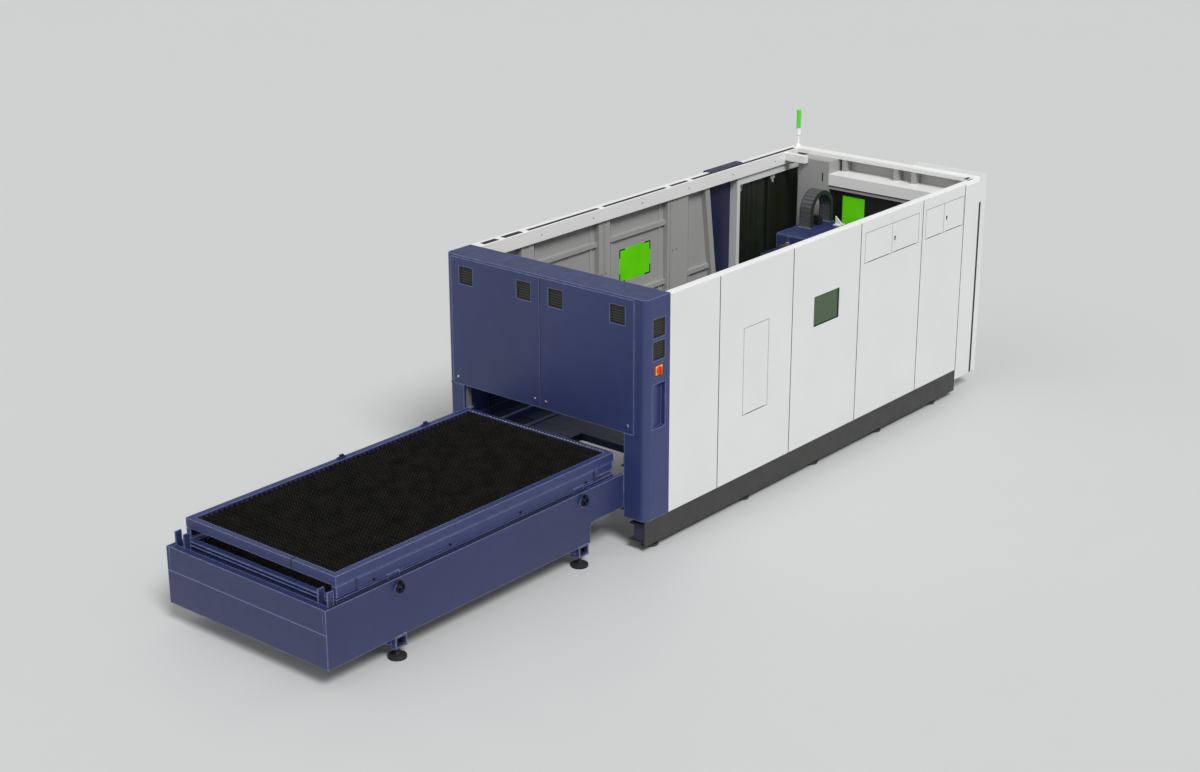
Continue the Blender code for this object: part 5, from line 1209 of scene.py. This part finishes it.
@dataclass
class FarWall(SubAssembly):
    """Grey inner side of the far wall: raised borders, creases, holes, window clips and top rail."""

    skin: float = 1.087
    post_face: float = 1.027
    low: float = 0.275
    high: float = 2.089
    borders: tuple[Pair, ...] = ((0.100, 0.129), (0.872, 0.901), (1.184, 1.213), (1.917, 1.946), (2.399, 2.428))
    creases: Pair = (1.023, 2.035)
    joint_x: Point = (-0.020, 1.057, 2.134)
    hole_x: tuple[float, ...] = (-0.088, -0.052, 0.988, 1.050, 2.077, 2.140)
    window: tuple[float, ...] = (1.335, 1.785, 1.402, 1.706)
    clip: Pair = (0.075, 0.013)
    bracket_x: tuple[float, ...] = (-0.397, -0.080, 0.985, 2.004, 2.350)

    def build(self) -> None:
        """Dress the wall, the accent panel and the top rail."""
        self.coat(WALL_COAT, "far_wall")
        self.coat(ACCENT_COAT, "accent_panel")
        self.coat(LIT_PANE, "far_window")
        # Roof frame in the brighter white of painted light
        self.coat(WHITE_PAINTED_LIGHT, "roof_frame")
        self.inner_face()
        self.window_clips()
        self.top_rail()
        self.outer_face()

    def inner_face(self) -> None:
        """Folded borders of the bays, dark joints down the posts and pairs of tie holes near their tops."""
        y, z0, z1 = self.skin, self.low, self.high
        borders = [((x0, y - 0.012, z0 + 0.002), (x1, y + 0.002, z1)) for x0, x1 in self.borders]
        self.plates("bay_borders", borders, 2.0, "far_wall", GREY_COAT)
        y = self.post_face
        joints = [((x - 0.002, y - 0.0008, z0 + 0.01), (x + 0.002, y + 0.001, z1 - 0.002)) for x in self.creases]
        self.plates("post_joints", joints, 0.2, "far_wall", PLINTH_COAT)
        hole = Bench.drum((0.0, y - 0.0002, 2.060), 0.0075, 0.0014, Axis.Y, 12, 0.2)
        places = [shift(x, 0, z) for x in self.hole_x for z in (0.0, -0.5, -1.0)]
        self.hang("post_holes", Bench.repeat(hole, places), "far_wall", BLACK_COAT)

    def outer_face(self) -> None:
        """Rubber beads over the outer joints and round the hatch and window, and rows of cap screws."""
        z0, z1 = self.low + 0.002, self.high - 0.004
        beads = [Bench.block((x - 0.004, 1.1120, z0), (x + 0.004, 1.1176, z1), 0.5) for x in self.joint_x]
        beads += Bench.surround((0.330, 1.1130, 0.840), (0.704, 1.1173, 1.644), 0.004, 0.2)
        self.hang("far_joint_beads", beads, "far_wall", RUBBER)
        x0, x1, z0, z1 = self.window
        rim = Bench.surround((x0 - 0.012, 1.1130, z0 - 0.012), (x1 + 0.012, 1.1185, z1 + 0.012), 0.014)
        self.hang("far_window_gasket", rim, "far_window", RUBBER)
        screw = Bench.drum((0.0, 1.1178, 0.0), 0.006, 0.003, Axis.Y, 12, 0.4)
        places = [shift(-0.60 + 0.30 * k, 0.0, z) for k in range(11) for z in (0.310, 2.055)]
        self.hang("far_wall_screws", Bench.repeat(screw, places), "far_wall", BLACK_OXIDE)

    def window_clips(self) -> None:
        """Black corner clips that hold the bright pane."""
        x0, x1, z0, z1 = self.window
        length, bar = self.clip
        spans = []
        for x, dx in ((x0, 1), (x1, -1)):
            for z, dz in ((z0, 1), (z1, -1)):
                for across, up in (((-bar, length), (-bar, 0.0)), ((-bar, 0.0), (0.0, length))):
                    a, b = sorted(x + dx * d for d in across)
                    c, d = sorted(z + dz * e for e in up)
                    spans.append(((a, self.skin - 0.003, c), (b, self.skin + 0.0002, d)))
        self.plates("window_clips", spans, 1.0, "far_wall", BLACK_COAT)

    def top_rail(self) -> None:
        """Black plates that paint the shade in the gap between the top rail and its outer angle, the saddles that tie
        them and the rail's screws.
        """
        ends = (-0.650, *self.bracket_x, 4.180)
        gaps = []
        for k, (x0, x1) in enumerate(zip(ends, ends[1:])):
            width = 0.062 if k < 2 else 0.042
            gaps.append(((x0 + 0.032, 1.022, 2.2105), (x1 - 0.032, 1.022 + width, 2.2156)))
        self.plates("rail_gap_shade", gaps, 0.2, "roof_frame", BLACK_COAT)
        saddle = Bench.block((-0.030, 1.012, 2.2145), (0.030, 1.090, 2.2205), 1.5)
        self.hang("rail_saddles", Bench.repeat(saddle, [shift(x) for x in self.bracket_x]), "roof_frame", WHITE_PAINTED_LIGHT)
        screw = Bench.drum((0.0, 0.9992, 2.150), 0.006, 0.003, Axis.Y, 12, 0.3)
        places = [shift(0.11 + 0.729 * k, 0, 0) for k in range(-1, 6)]
        self.hang("rail_screws", Bench.repeat(screw, places), "roof_frame", BLACK_OXIDE)


@dataclass
class OperatorDoor(SubAssembly):
    """The two sliding leaves with their hangers, seals and pulls."""

    leaves: tuple[tuple[int, float, Pair, float], ...] = ((1, 1.077, (3.455, 3.690), 3.262),
                                                          (2, 1.051, (3.756, 4.027), 3.791))
    stile_z: Pair = (0.345, 1.995)
    pull: Point = (3.250, 1.1220, 1.050)

    def build(self) -> None:
        """Dress the frame and leaves; stiles stand on the inner faces and roller plates hang below the track."""
        self.coat(WHITE_COAT, "door_frame")
        self.coat(DOOR_PANE, "door_leaf_1", "door_leaf_2")
        for number, y, stiles, x in self.leaves:
            body, leaf = f"door_{number}", f"door_leaf_{number}"
            z0, z1 = self.stile_z
            spans = [((s - 0.010, y - 0.002, z0), (s + 0.010, y + 0.0005, z1)) for s in stiles]
            self.plates(f"{body}_stiles", spans, 0.6, leaf, BLACK_COAT, body)
            plate = Bench.block((x - 0.038, y - 0.0025, 1.955), (x + 0.038, y - 0.0002, 2.002), 0.6)
            tab = Bench.block((x - 0.016, y - 0.0028, 1.918), (x + 0.016, y - 0.0002, 1.957), 0.6)
            head = Bench.drum((x - 0.018, y - 0.003, 1.980), 0.006, 0.002, Axis.Y, 12, 0.3)
            self.hang(f"{body}_hangers", [plate, tab, head], leaf, GREY_COAT, body)
        self.handle()

    def handle(self) -> None:
        """Upright bar handle on the outside of the first leaf."""
        x, y, z = self.pull
        parts = [Bench.drum((x, y, z), 0.009, 0.360, Axis.Z, 16)]
        parts += [Bench.drum((x, y - 0.0125, z + dz), 0.007, 0.025, Axis.Y, 12) for dz in (-0.155, 0.155)]
        self.hang("door_pull", parts, "door_leaf_1", ZINC, "door_1")


@dataclass
class RearBay(SubAssembly):
    """Rear frame, dark wall, cabinet and its door."""

    back: float = 4.290
    handle_x: float = 4.3895
    edge_y: Pair = (-1.1174, -1.1100)
    edge_z: Pair = (0.172, 1.962)
    rib_y: tuple[float, ...] = (-0.95, -0.72, -0.49, -0.26, -0.06, 0.42)
    panels_y: tuple[Pair, ...] = ((-1.050, -0.440), (-0.380, -0.230), (-0.170, 0.390))

    def build(self) -> None:
        """Dress the bay and add its trim."""
        self.coat(WHITE_COAT, "rear_cabinet", "rear_door")
        self.coat(BAY_COAT, "rear_frame")
        self.coat(BLACK_COAT, "rear_inner_wall")
        self.coat(LIT_PANE, "rear_window")
        # Grey cable tray just under the beam, and a black plate that paints the shade inside the slot in the column
        self.plates("beam_lip", [((4.002, -1.055, 1.893), (4.036, 0.4885, 1.917))], 1.0, "rear_frame", GREY_COAT)
        slot = ((3.9985, 0.5555, 1.9605), (4.0005, 0.5745, 2.0495))
        self.plates("column_slot_shade", [slot], 0.3, "rear_frame", BLACK_COAT)
        # Black plates that paint the shade in the slots of the near rear corner's top
        slots = [((4.120, -1.045, 2.2140), (4.200, -1.015, 2.2156)), ((4.070, -1.090, 2.2140), (4.170, -1.075, 2.2156))]
        self.plates("corner_notch_shade", slots, 0.3, "roof_frame", BLACK_COAT)
        # Dark rebate on the cabinet's edge and seal on the door's edge beside it
        (y0, y1), (z0, z1) = self.edge_y, self.edge_z
        rebate, seal = ((4.2700, y0, z0), (4.2899, y1, z1)), ((4.2905, y0, z0), (4.3040, y1, z1))
        self.plates("side_reveal", [rebate], 0.2, "rear_cabinet", BLACK_COAT)
        self.plates("door_seal", [seal], 0.2, "rear_door", BLACK_COAT, "back_door")
        self.inner_wall()
        self.door_trim()
        self.cabinet_back()
        self.recess_panels()

    def inner_wall(self) -> None:
        """Pressed ribs of the dark wall and the rim of its bright window."""
        rib = Bench.block((4.0315, 0.0, 0.200), (4.0355, 0.016, 1.930))
        self.hang("wall_ribs", Bench.repeat(rib, [shift(y=y) for y in self.rib_y]), "rear_inner_wall", BLACK_COAT)
        rim = Bench.surround((4.0325, 0.055, 1.528), (4.0355, 0.346, 1.852), 0.012)
        self.hang("rear_window_rim", rim, "rear_inner_wall", BLACK_COAT)

    def door_trim(self) -> None:
        """Flush swing handle and lock of the cabinet door."""
        x = self.handle_x
        base = Bench.block((x - 0.0078, -1.030, 0.995), (x - 0.004, -0.980, 1.205), 1.5, 2)
        grip = Bench.block((x - 0.007, -1.020, 1.020), (x, -0.990, 1.180), 2.5, 2)
        lock = Bench.drum((x - 0.003, -1.005, 1.225), 0.011, 0.006, Axis.X, 16)
        self.hang("cabinet_handle", [base, grip, lock], "rear_door", BLACK_OXIDE, "back_door")

    def cabinet_back(self) -> None:
        """Air louvres pressed in the back of the cabinet, and the plate with its blanked glands."""
        x = self.back
        louvre = Bench.block((x - 0.001, 0.0, 0.0), (x + 0.009, 0.360, 0.010), 2.5, 2)
        places = [shift(y=y, z=0.45 + 0.026 * k) for y in (0.02, 0.56) for k in range(14)]
        self.hang("cabinet_louvres", Bench.repeat(louvre, places), "rear_cabinet", GREY_COAT)
        parts = [Bench.block((x - 0.001, 0.560, 1.900), (x + 0.004, 0.920, 2.020), 1.5)]
        for k in range(4):
            y = 0.615 + 0.083 * k
            parts.append(Bench.drum((x + 0.013, y, 1.960), 0.024, 0.022, Axis.X, 6))
            parts.append(Bench.drum((x + 0.022, y, 1.960), 0.015, 0.020, Axis.X, 16))
        self.hang("gland_plate", parts, "rear_cabinet", ZINC)

    def recess_panels(self) -> None:
        """Grey folded panels at the back of the recess above the beam."""
        parts = []
        for y0, y1 in self.panels_y:
            panel = Bench.block((4.2625, y0, 2.055), (4.2695, y1, 2.165))
            parts.append(Bench.sink(panel, facing(0, -1), 0.012, (0.003, 0.0, 0.0)))
        self.hang("recess_panels", parts, "rear_cabinet", GREY_COAT)


@dataclass
class StackLight(SubAssembly):
    """Signal lamp on the rear corner."""

    x: float = 4.240
    y: float = 1.050

    def build(self) -> None:
        """Dress the lamp and add the ring under its lens and the four screws of its foot."""
        self.coat(LAMP_WHITE, "stack_light_stem")
        self.coat(LAMP_LENS, "stack_light_lens")
        ring = Bench.ring((self.x, self.y, 2.4095), 0.0243, 0.0018, Axis.Z, 24)
        self.hang("lamp_rings", [ring], "stack_light_stem", LAMP_WHITE)
        screw = Bench.drum((self.x + 0.020, self.y, 2.2360), 0.0035, 0.003, Axis.Z, 6, 0.3)
        to, fro = shift(self.x, self.y), shift(-self.x, -self.y)
        turns = [to @ Matrix.Rotation(math.pi / 4 + k * math.pi / 2, 4, "Z") @ fro for k in range(4)]
        self.hang("lamp_screws", Bench.repeat(screw, turns), "stack_light_stem", BLACK_OXIDE)


# Machine


@dataclass
class Plinth(SubAssembly):
    """Anthracite skirts with their channel ends and nuts."""

    front: float = -1.017
    outer: float = 1.1025
    lips_z: tuple[Pair, Pair] = ((0.0845, 0.0995), (0.2305, 0.2455))
    feet_x: tuple[float, ...] = (-0.830, 0.470, 1.560, 2.640, 3.640)
    feet_y: float = 1.022

    def build(self) -> None:
        """Dress the skirts and add the blue channel ends, their black lips and the feet's lock nuts."""
        self.coat(PLINTH_COAT, "plinth_near", "plinth_far")
        x, webs, lips = self.front, [], []
        for side in SIDES:
            y0, y1 = reach(side, 0.990, self.outer)
            webs.append(((x + 0.010, y0, self.lips_z[0][1]), (x + 0.022, y1, self.lips_z[1][0])))
            y0, y1 = reach(side, 0.9495, self.outer)
            lips += [((x - 0.0005, y0, z0), (x + 0.010, y1, z1)) for z0, z1 in self.lips_z]
        # Channel webs in the darker blue of painted shade
        self.plates("channel_webs", webs, 1.0, "machine_bed", BLUE_PAINTED_SHADE)
        self.plates("channel_lips", lips, 1.0, "plinth_near", BLACK_COAT)
        nut = Bench.drum((0.0, 0.0, 0.074), 0.028, 0.018, Axis.Z, 6)
        places = [shift(x, side * self.feet_y) for x in self.feet_x for side in SIDES]
        self.hang("plinth_nuts", Bench.repeat(nut, places), "plinth_near", BLACK_OXIDE)


@dataclass
class Bed(SubAssembly):
    """Machine bed: ground guides, racks, drive cover and screws."""

    guide_y: float = 0.8887
    guide_half: float = 0.0153
    start: float = -0.670
    end: float = 3.910
    screw_count: int = 38
    rack_y: float = 0.92975
    rack_pitch: float = 0.0125
    cover_spots: tuple[Pair, ...] = ((-0.87, 0.235), (-0.87, -0.15), (-0.48, 0.235), (-0.70, -0.21),
                                     (-0.70, -0.745), (-0.48, -0.745), (-0.48, -0.25))

    def build(self) -> None:
        """Dress the bed and add guides, racks and screws."""
        # Bed and drive in the darker blue that paints the shade inside the cabin
        self.coat(BLUE_PAINTED_SHADE, "machine_bed", "shuttle_drive")
        self.guides()
        self.racks()
        # Round-head screws round the drive cover
        screw = Bench.drum((0.0, 0.0, 0.7672), 0.009, 0.004, Axis.Z, 12)
        places = [shift(x, y) for x, y in self.cover_spots]
        self.hang("cover_screws", Bench.repeat(screw, places), "shuttle_drive", BLACK_OXIDE)

    def guides(self) -> None:
        """Profiled steel guides over the bed's ledges, waisted along both sides, and their cap screws."""
        parts = []
        for side in SIDES:
            y = side * self.guide_y
            bar = Bench.block((self.start, y - self.guide_half, 1.0605), (self.end, y + self.guide_half, 1.0881), 0)
            with Bench.faces(bar, lambda face: abs(face.normal.y) > SQUARE_ON):
                bpy.ops.mesh.inset(thickness=0.008, use_individual=True)
                bpy.ops.transform.shrink_fatten(value=-0.003)
            parts.append(Bench.soften(bar, 0.8))
        self.hang("linear_guides", parts, "machine_bed", GROUND_STEEL)
        screw = Bench.drum((0.0, 0.0, 1.0880), 0.006, 0.0006, Axis.Z, 8, 0.0)
        step = (self.end - self.start - 0.10) / (self.screw_count - 1)
        spots = [self.start + 0.05 + k * step for k in range(self.screw_count)]
        places = [shift(x, side * self.guide_y) for x in spots for side in SIDES]
        self.hang("guide_screws", Bench.repeat(screw, places), "machine_bed", BLACK_OXIDE)

    def racks(self) -> None:
        """Toothed racks beside the guides, one tooth cut and repeated."""
        tooth = Bench.block((self.start, 0.9195, 1.0605), (self.start + 0.010, 0.9400, 1.0780), 0)
        with Bench.faces(tooth, facing(2, 1)):
            bpy.ops.transform.resize(value=(0.45, 1.0, 1.0))
        Bench.row(tooth, int((self.end - self.start) / self.rack_pitch), (self.rack_pitch, 0, 0))
        bar = Bench.block((self.start, 0.9190, 1.0602), (self.end, 0.9405, 1.0640), 0.5)
        racks = Bench.repeat(Bench.join([tooth, bar]), [shift(), shift(y=-2 * self.rack_y)])
        self.hang("drive_racks", racks, "machine_bed", GROUND_STEEL)


@dataclass
class Gantry(SubAssembly):
    """The gantry beam, cross carriage, cable chain and cutting head."""

    front: float = 3.450
    back: float = 3.790
    deck: float = 1.5800
    carriage_y: float = 0.385
    carriage_half: float = 0.1853
    head_x: float = 3.1347
    chain_x: float = 3.734
    chain_y: float = 0.4525
    chain_half: float = 0.0725
    radius: float = 0.1775
    link: float = 0.041
    foot_z: float = 1.5803
    straight: float = 0.163
    straight_links: int = 4

    def build(self) -> None:
        """Dress the axes and add their fittings."""
        self.coat(BLUE_COAT, "gantry_beam", "cross_carriage")
        self.coat(HEAD_COAT, "cutting_head")
        self.beam_fittings()
        chain = "head_cable_chain"
        self.hang("cable_chain", self.chain(self.link_plates()), chain, CHAIN_PLASTIC, "carriage", chain)
        # Covers in the grey of painted light
        self.hang("chain_covers", self.chain(self.link_cover()), chain, CHAIN_PAINTED_LIGHT, "carriage")
        # End brackets that hold the chain on the carriage
        y0, y1 = self.chain_y - 0.080, self.chain_y + 0.080
        spots = [self.chain_x + side * self.radius for side in SIDES]
        feet = [((x - 0.032, y0, self.foot_z - 0.0002), (x + 0.032, y1, self.foot_z + 0.006)) for x in spots]
        self.plates("chain_feet", feet, 1.5, chain, ZINC, "carriage")
        self.wedge()
        self.carriage_trim()
        self.head_fittings()

    def beam_fittings(self) -> None:
        """Ground guides on the beam's front, finned drive motors behind it and its end caps."""
        x, guides = self.front, []
        for z, half in ((1.200, 0.914), (1.025, 0.809)):
            guides.append(Bench.block((x - 0.0222, -half, z - 0.0153), (x - 0.0003, half, z + 0.0153), 2.0, 2))
        self.hang("cross_guides", guides, "gantry_beam", GROUND_STEEL, "gantry")
        motors, caps = [], []
        for side in SIDES:
            y, z = side * 0.740, 1.0475
            motors.append(Bench.drum((self.back + 0.036, y, z), 0.0465, 0.068, Axis.X, 24, 2.0))
            for k in range(5):
                motors.append(Bench.ring((self.back + 0.012 + 0.012 * k, y, z), 0.0468, 0.0022, Axis.X, 24))
            y0, y1 = reach(side, 0.9345, 0.9395)
            caps.append(((x + 0.02, y0, 1.125), (self.back - 0.02, y1, 1.225)))
        self.hang("drive_motors", motors, "gantry_beam", BLACK_COAT, "gantry")
        self.plates("beam_end_caps", caps, 1.0, "gantry_beam", BLACK_COAT, "gantry")

    def link_plates(self) -> Item:
        """One link's two side plates with their pins and crossbar.

        Returns:
            The link about the origin.
        """
        half, inner = self.link / 2, self.chain_half - 0.010
        parts = [Bench.block((-0.0120, -inner, -0.006), (0.0120, inner, 0.006))]
        for side in SIDES:
            y0, y1 = reach(side, inner, self.chain_half)
            parts.append(Bench.block((-0.0222, y0, -half - 0.001), (0.0222, y1, half - 0.003), 2.0, 2))
            pin = (0.0, side * (self.chain_half - 0.0005), half - 0.009)
            parts.append(Bench.drum(pin, 0.007, 0.003, Axis.Y, 10, 0.5))
        return Bench.join(parts)

    def link_cover(self) -> Item:
        """One link's outer and inner covers, slightly dished.

        Returns:
            The covers about the origin.
        """
        z, y = self.link / 2 - 0.0006, self.chain_half - 0.0105
        parts = []
        for sign, x0, x1 in ((1, 0.0140, 0.0205), (-1, -0.0205, -0.0140)):
            cover = Bench.block((x0, -y, -z), (x1, y, z), 0)
            Bench.sink(cover, facing(0, sign), 0.005, (-sign * 0.0012, 0.0, 0.0))
            parts.append(Bench.soften(cover, 1.0))
        return Bench.join(parts)

    def chain(self, model: Item) -> list[Item]:
        """Lay copies of a link's part along the arch from the carriage's back to its front.

        Args:
            model: the part, made about the origin.

        Returns:
            The copies.
        """
        x, y, radius = self.chain_x, self.chain_y, self.radius
        places = []
        for k in range(self.straight_links):
            z = self.foot_z + self.straight * (k + 0.5) / self.straight_links
            places.append(shift(x + radius, y, z))
            places.append(shift(x - radius, y, z) @ Matrix.Rotation(math.pi, 4, "Y"))
        turns = round(math.pi * radius / self.link)
        for k in range(turns):
            angle = math.pi * (k + 0.5) / turns
            rise = self.foot_z + self.straight + radius * math.sin(angle)
            places.append(shift(x + radius * math.cos(angle), y, rise) @ Matrix.Rotation(-angle, 4, "Y"))
        return Bench.repeat(model, places)

    def wedge(self) -> None:
        """White gusset that stands on the carriage beside the chain."""
        plate = Bench.block((3.842, 0.204, self.deck), (3.856, 0.290, 1.670), 0)
        Bench.lift(plate, "EDGE", lambda edge: all(v.co.z > 1.66 and v.co.y < 0.21 for v in edge.verts),
                   (0, 0, -0.075))
        foot = Bench.block((3.800, 0.204, self.deck), (3.900, 0.290, 1.590))
        self.hang("chain_gusset", [Bench.soften(plate, 1.0), foot], "cross_carriage", WHITE_COAT, "carriage")

    def carriage_trim(self) -> None:
        """Small dark valve island under the arch, and the joints of the carriage's lid and front cover."""
        parts = [Bench.block((3.700, 0.400, self.deck), (3.780, 0.500, 1.640), 3.0, 2)]
        for k in range(3):
            y = 0.408 + 0.030 * k
            parts.append(Bench.block((3.712, y, 1.638), (3.768, y + 0.022, 1.672), 2.0))
        self.hang("valve_island", parts, "cross_carriage", BLACK_COAT, "carriage")
        y0, y1 = self.carriage_y - self.carriage_half, self.carriage_y + self.carriage_half
        parts = [Bench.block((3.40, y0, 1.5785), (3.404, y1, 1.5803), 0.2)]
        for y in (y0, y1 - 0.0006):
            parts.append(Bench.block((3.215, y, 1.300), (3.930, y + 0.0006, 1.304), 0.1))
        self.hang("carriage_joints", parts, "cross_carriage", BLACK_COAT, "carriage")

    def head_fittings(self) -> None:
        """Copper nozzle, clamp rings and cover screws of the head, and the red pull of its lens drawer."""
        x, y = self.head_x, self.carriage_y
        tip = Bench.drum((x, y, 0.9965), 0.0144, 0.022, Axis.Z, 24, 0)
        with Bench.faces(tip, facing(2, -1)):
            bpy.ops.transform.resize(value=(0.32, 0.32, 1.0))
        collar = Bench.drum((x, y, 1.0135), 0.0152, 0.011, Axis.Z, 24, 1.0)
        self.hang("nozzle", [tip, collar], "cutting_head", COPPER, "head")
        parts = [Bench.drum((x, y, 1.036), 0.0325, 0.016, Axis.Z, 28, 1.5),
                 Bench.drum((x, y, 1.516), 0.026, 0.030, Axis.Z, 24, 2.0)]
        for z in (1.24, 1.44):
            for dy in (-0.045, 0.045):
                parts.append(Bench.drum((3.0692, y + dy, z), 0.006, 0.003, Axis.X, 12, 0.3))
        self.hang("head_trim", parts, "cutting_head", ZINC, "head")
        drawer = Bench.block((3.0640, y - 0.034, 1.275), (3.0700, y + 0.034, 1.315), 1.5, 2)
        Bench.sink(drawer, facing(0, -1), 0.010, (0.002, 0.0, 0.0))
        self.hang("lens_drawer", [drawer], "cutting_head", SWITCH_RED, "head")


# Studio


@dataclass
class Studio(SubAssembly):
    """Pale floor, soft light and the camera at the photograph's angle."""

    eye: Point = (-13.147, -10.804, 7.108)
    ahead: Point = (0.7205, 0.6043, -0.3401)
    level: Point = (0.6420, -0.7670, -0.0020)
    lens: float = 60.85
    floor: str = "#cccdcd"
    sky: str = "#f6f6f6"
    sky_glow: Pair = (0.45, 0.72)

    def build(self) -> None:
        """Set the stage."""
        self.ground()
        self.daylight()
        self.lamp("key", (-0.42, -0.78, 0.95), 2.5, 20.0)
        self.lamp("fill", (-0.95, 0.35, 0.75), 0.45, 60.0)
        self.camera()
        bpy.context.scene.view_settings.view_transform = "Standard"

    def ground(self) -> None:
        """Lay the floor."""
        Bench.clear()
        bpy.ops.mesh.primitive_plane_add(size=260.0, location=(30.0, 25.0, 0.0))
        floor = Bench.settle()
        floor.name = "studio_floor"
        floor.data.materials.append(self.material(SealedFloor("painted_workshop_floor", self.floor)))

    def daylight(self) -> None:
        """Light everything evenly from the sky; the lens sees it as pale as the floor."""
        world = bpy.data.worlds.new("studio_sky")
        world.use_nodes = True
        bpy.context.scene.world = world
        graph = Graph(world.node_tree, world.node_tree.nodes["Background"])
        seen = graph.put("LightPath", out="Is Camera Ray")
        glow = graph.put("MapRange", (seen, 0.0, 1.0, *self.sky_glow))
        graph.feed(graph.end, (linear(self.sky), glow))

    def lamp(self, name: str, toward: Point, strength: float, spread: float) -> None:
        """Hang a soft lamp far away.

        Args:
            name: name of the lamp.
            toward: direction from the object to the lamp.
            strength: irradiance in watts per square metre.
            spread: angle of the soft light in degrees.
        """
        data = bpy.data.lights.new(name, "SUN")
        data.energy = strength
        data.angle = math.radians(spread)
        item = bpy.data.objects.new(name, data)
        bpy.context.collection.objects.link(item)
        item.matrix_world = Vector(toward).to_track_quat("Z", "Y").to_matrix().to_4x4()

    def camera(self) -> None:
        """Stand the camera where the photograph was taken from."""
        data = bpy.data.cameras.new("studio_camera")
        data.lens = self.lens
        data.sensor_width = 36.0
        data.clip_end = 500.0
        item = bpy.data.objects.new("studio_camera", data)
        bpy.context.collection.objects.link(item)
        forward, right = Vector(self.ahead).normalized(), Vector(self.level)
        right = (right - forward * right.dot(forward)).normalized()
        turn = Matrix((right, right.cross(forward), -forward)).transposed().to_4x4()
        item.matrix_world = shift(*self.eye) @ turn
        bpy.context.scene.camera = item


def main() -> None:
    """Build and dress the whole machine."""
    logging.basicConfig(level=logging.INFO, format="%(message)s")
    rack: dict[str, bpy.types.Material] = {}
    groups = (Studio, ExchangeTable, Pallets, Portal, NearWall, FarWall, OperatorDoor, RearBay, StackLight, Plinth,
              Bed, Gantry)
    for kind in groups:
        group = kind(rack)
        group.build()
        for name in group.pieces:
            log.info("%s: %s", kind.__name__, name)
    Bench.clear()


if __name__ == "__main__":
    main()
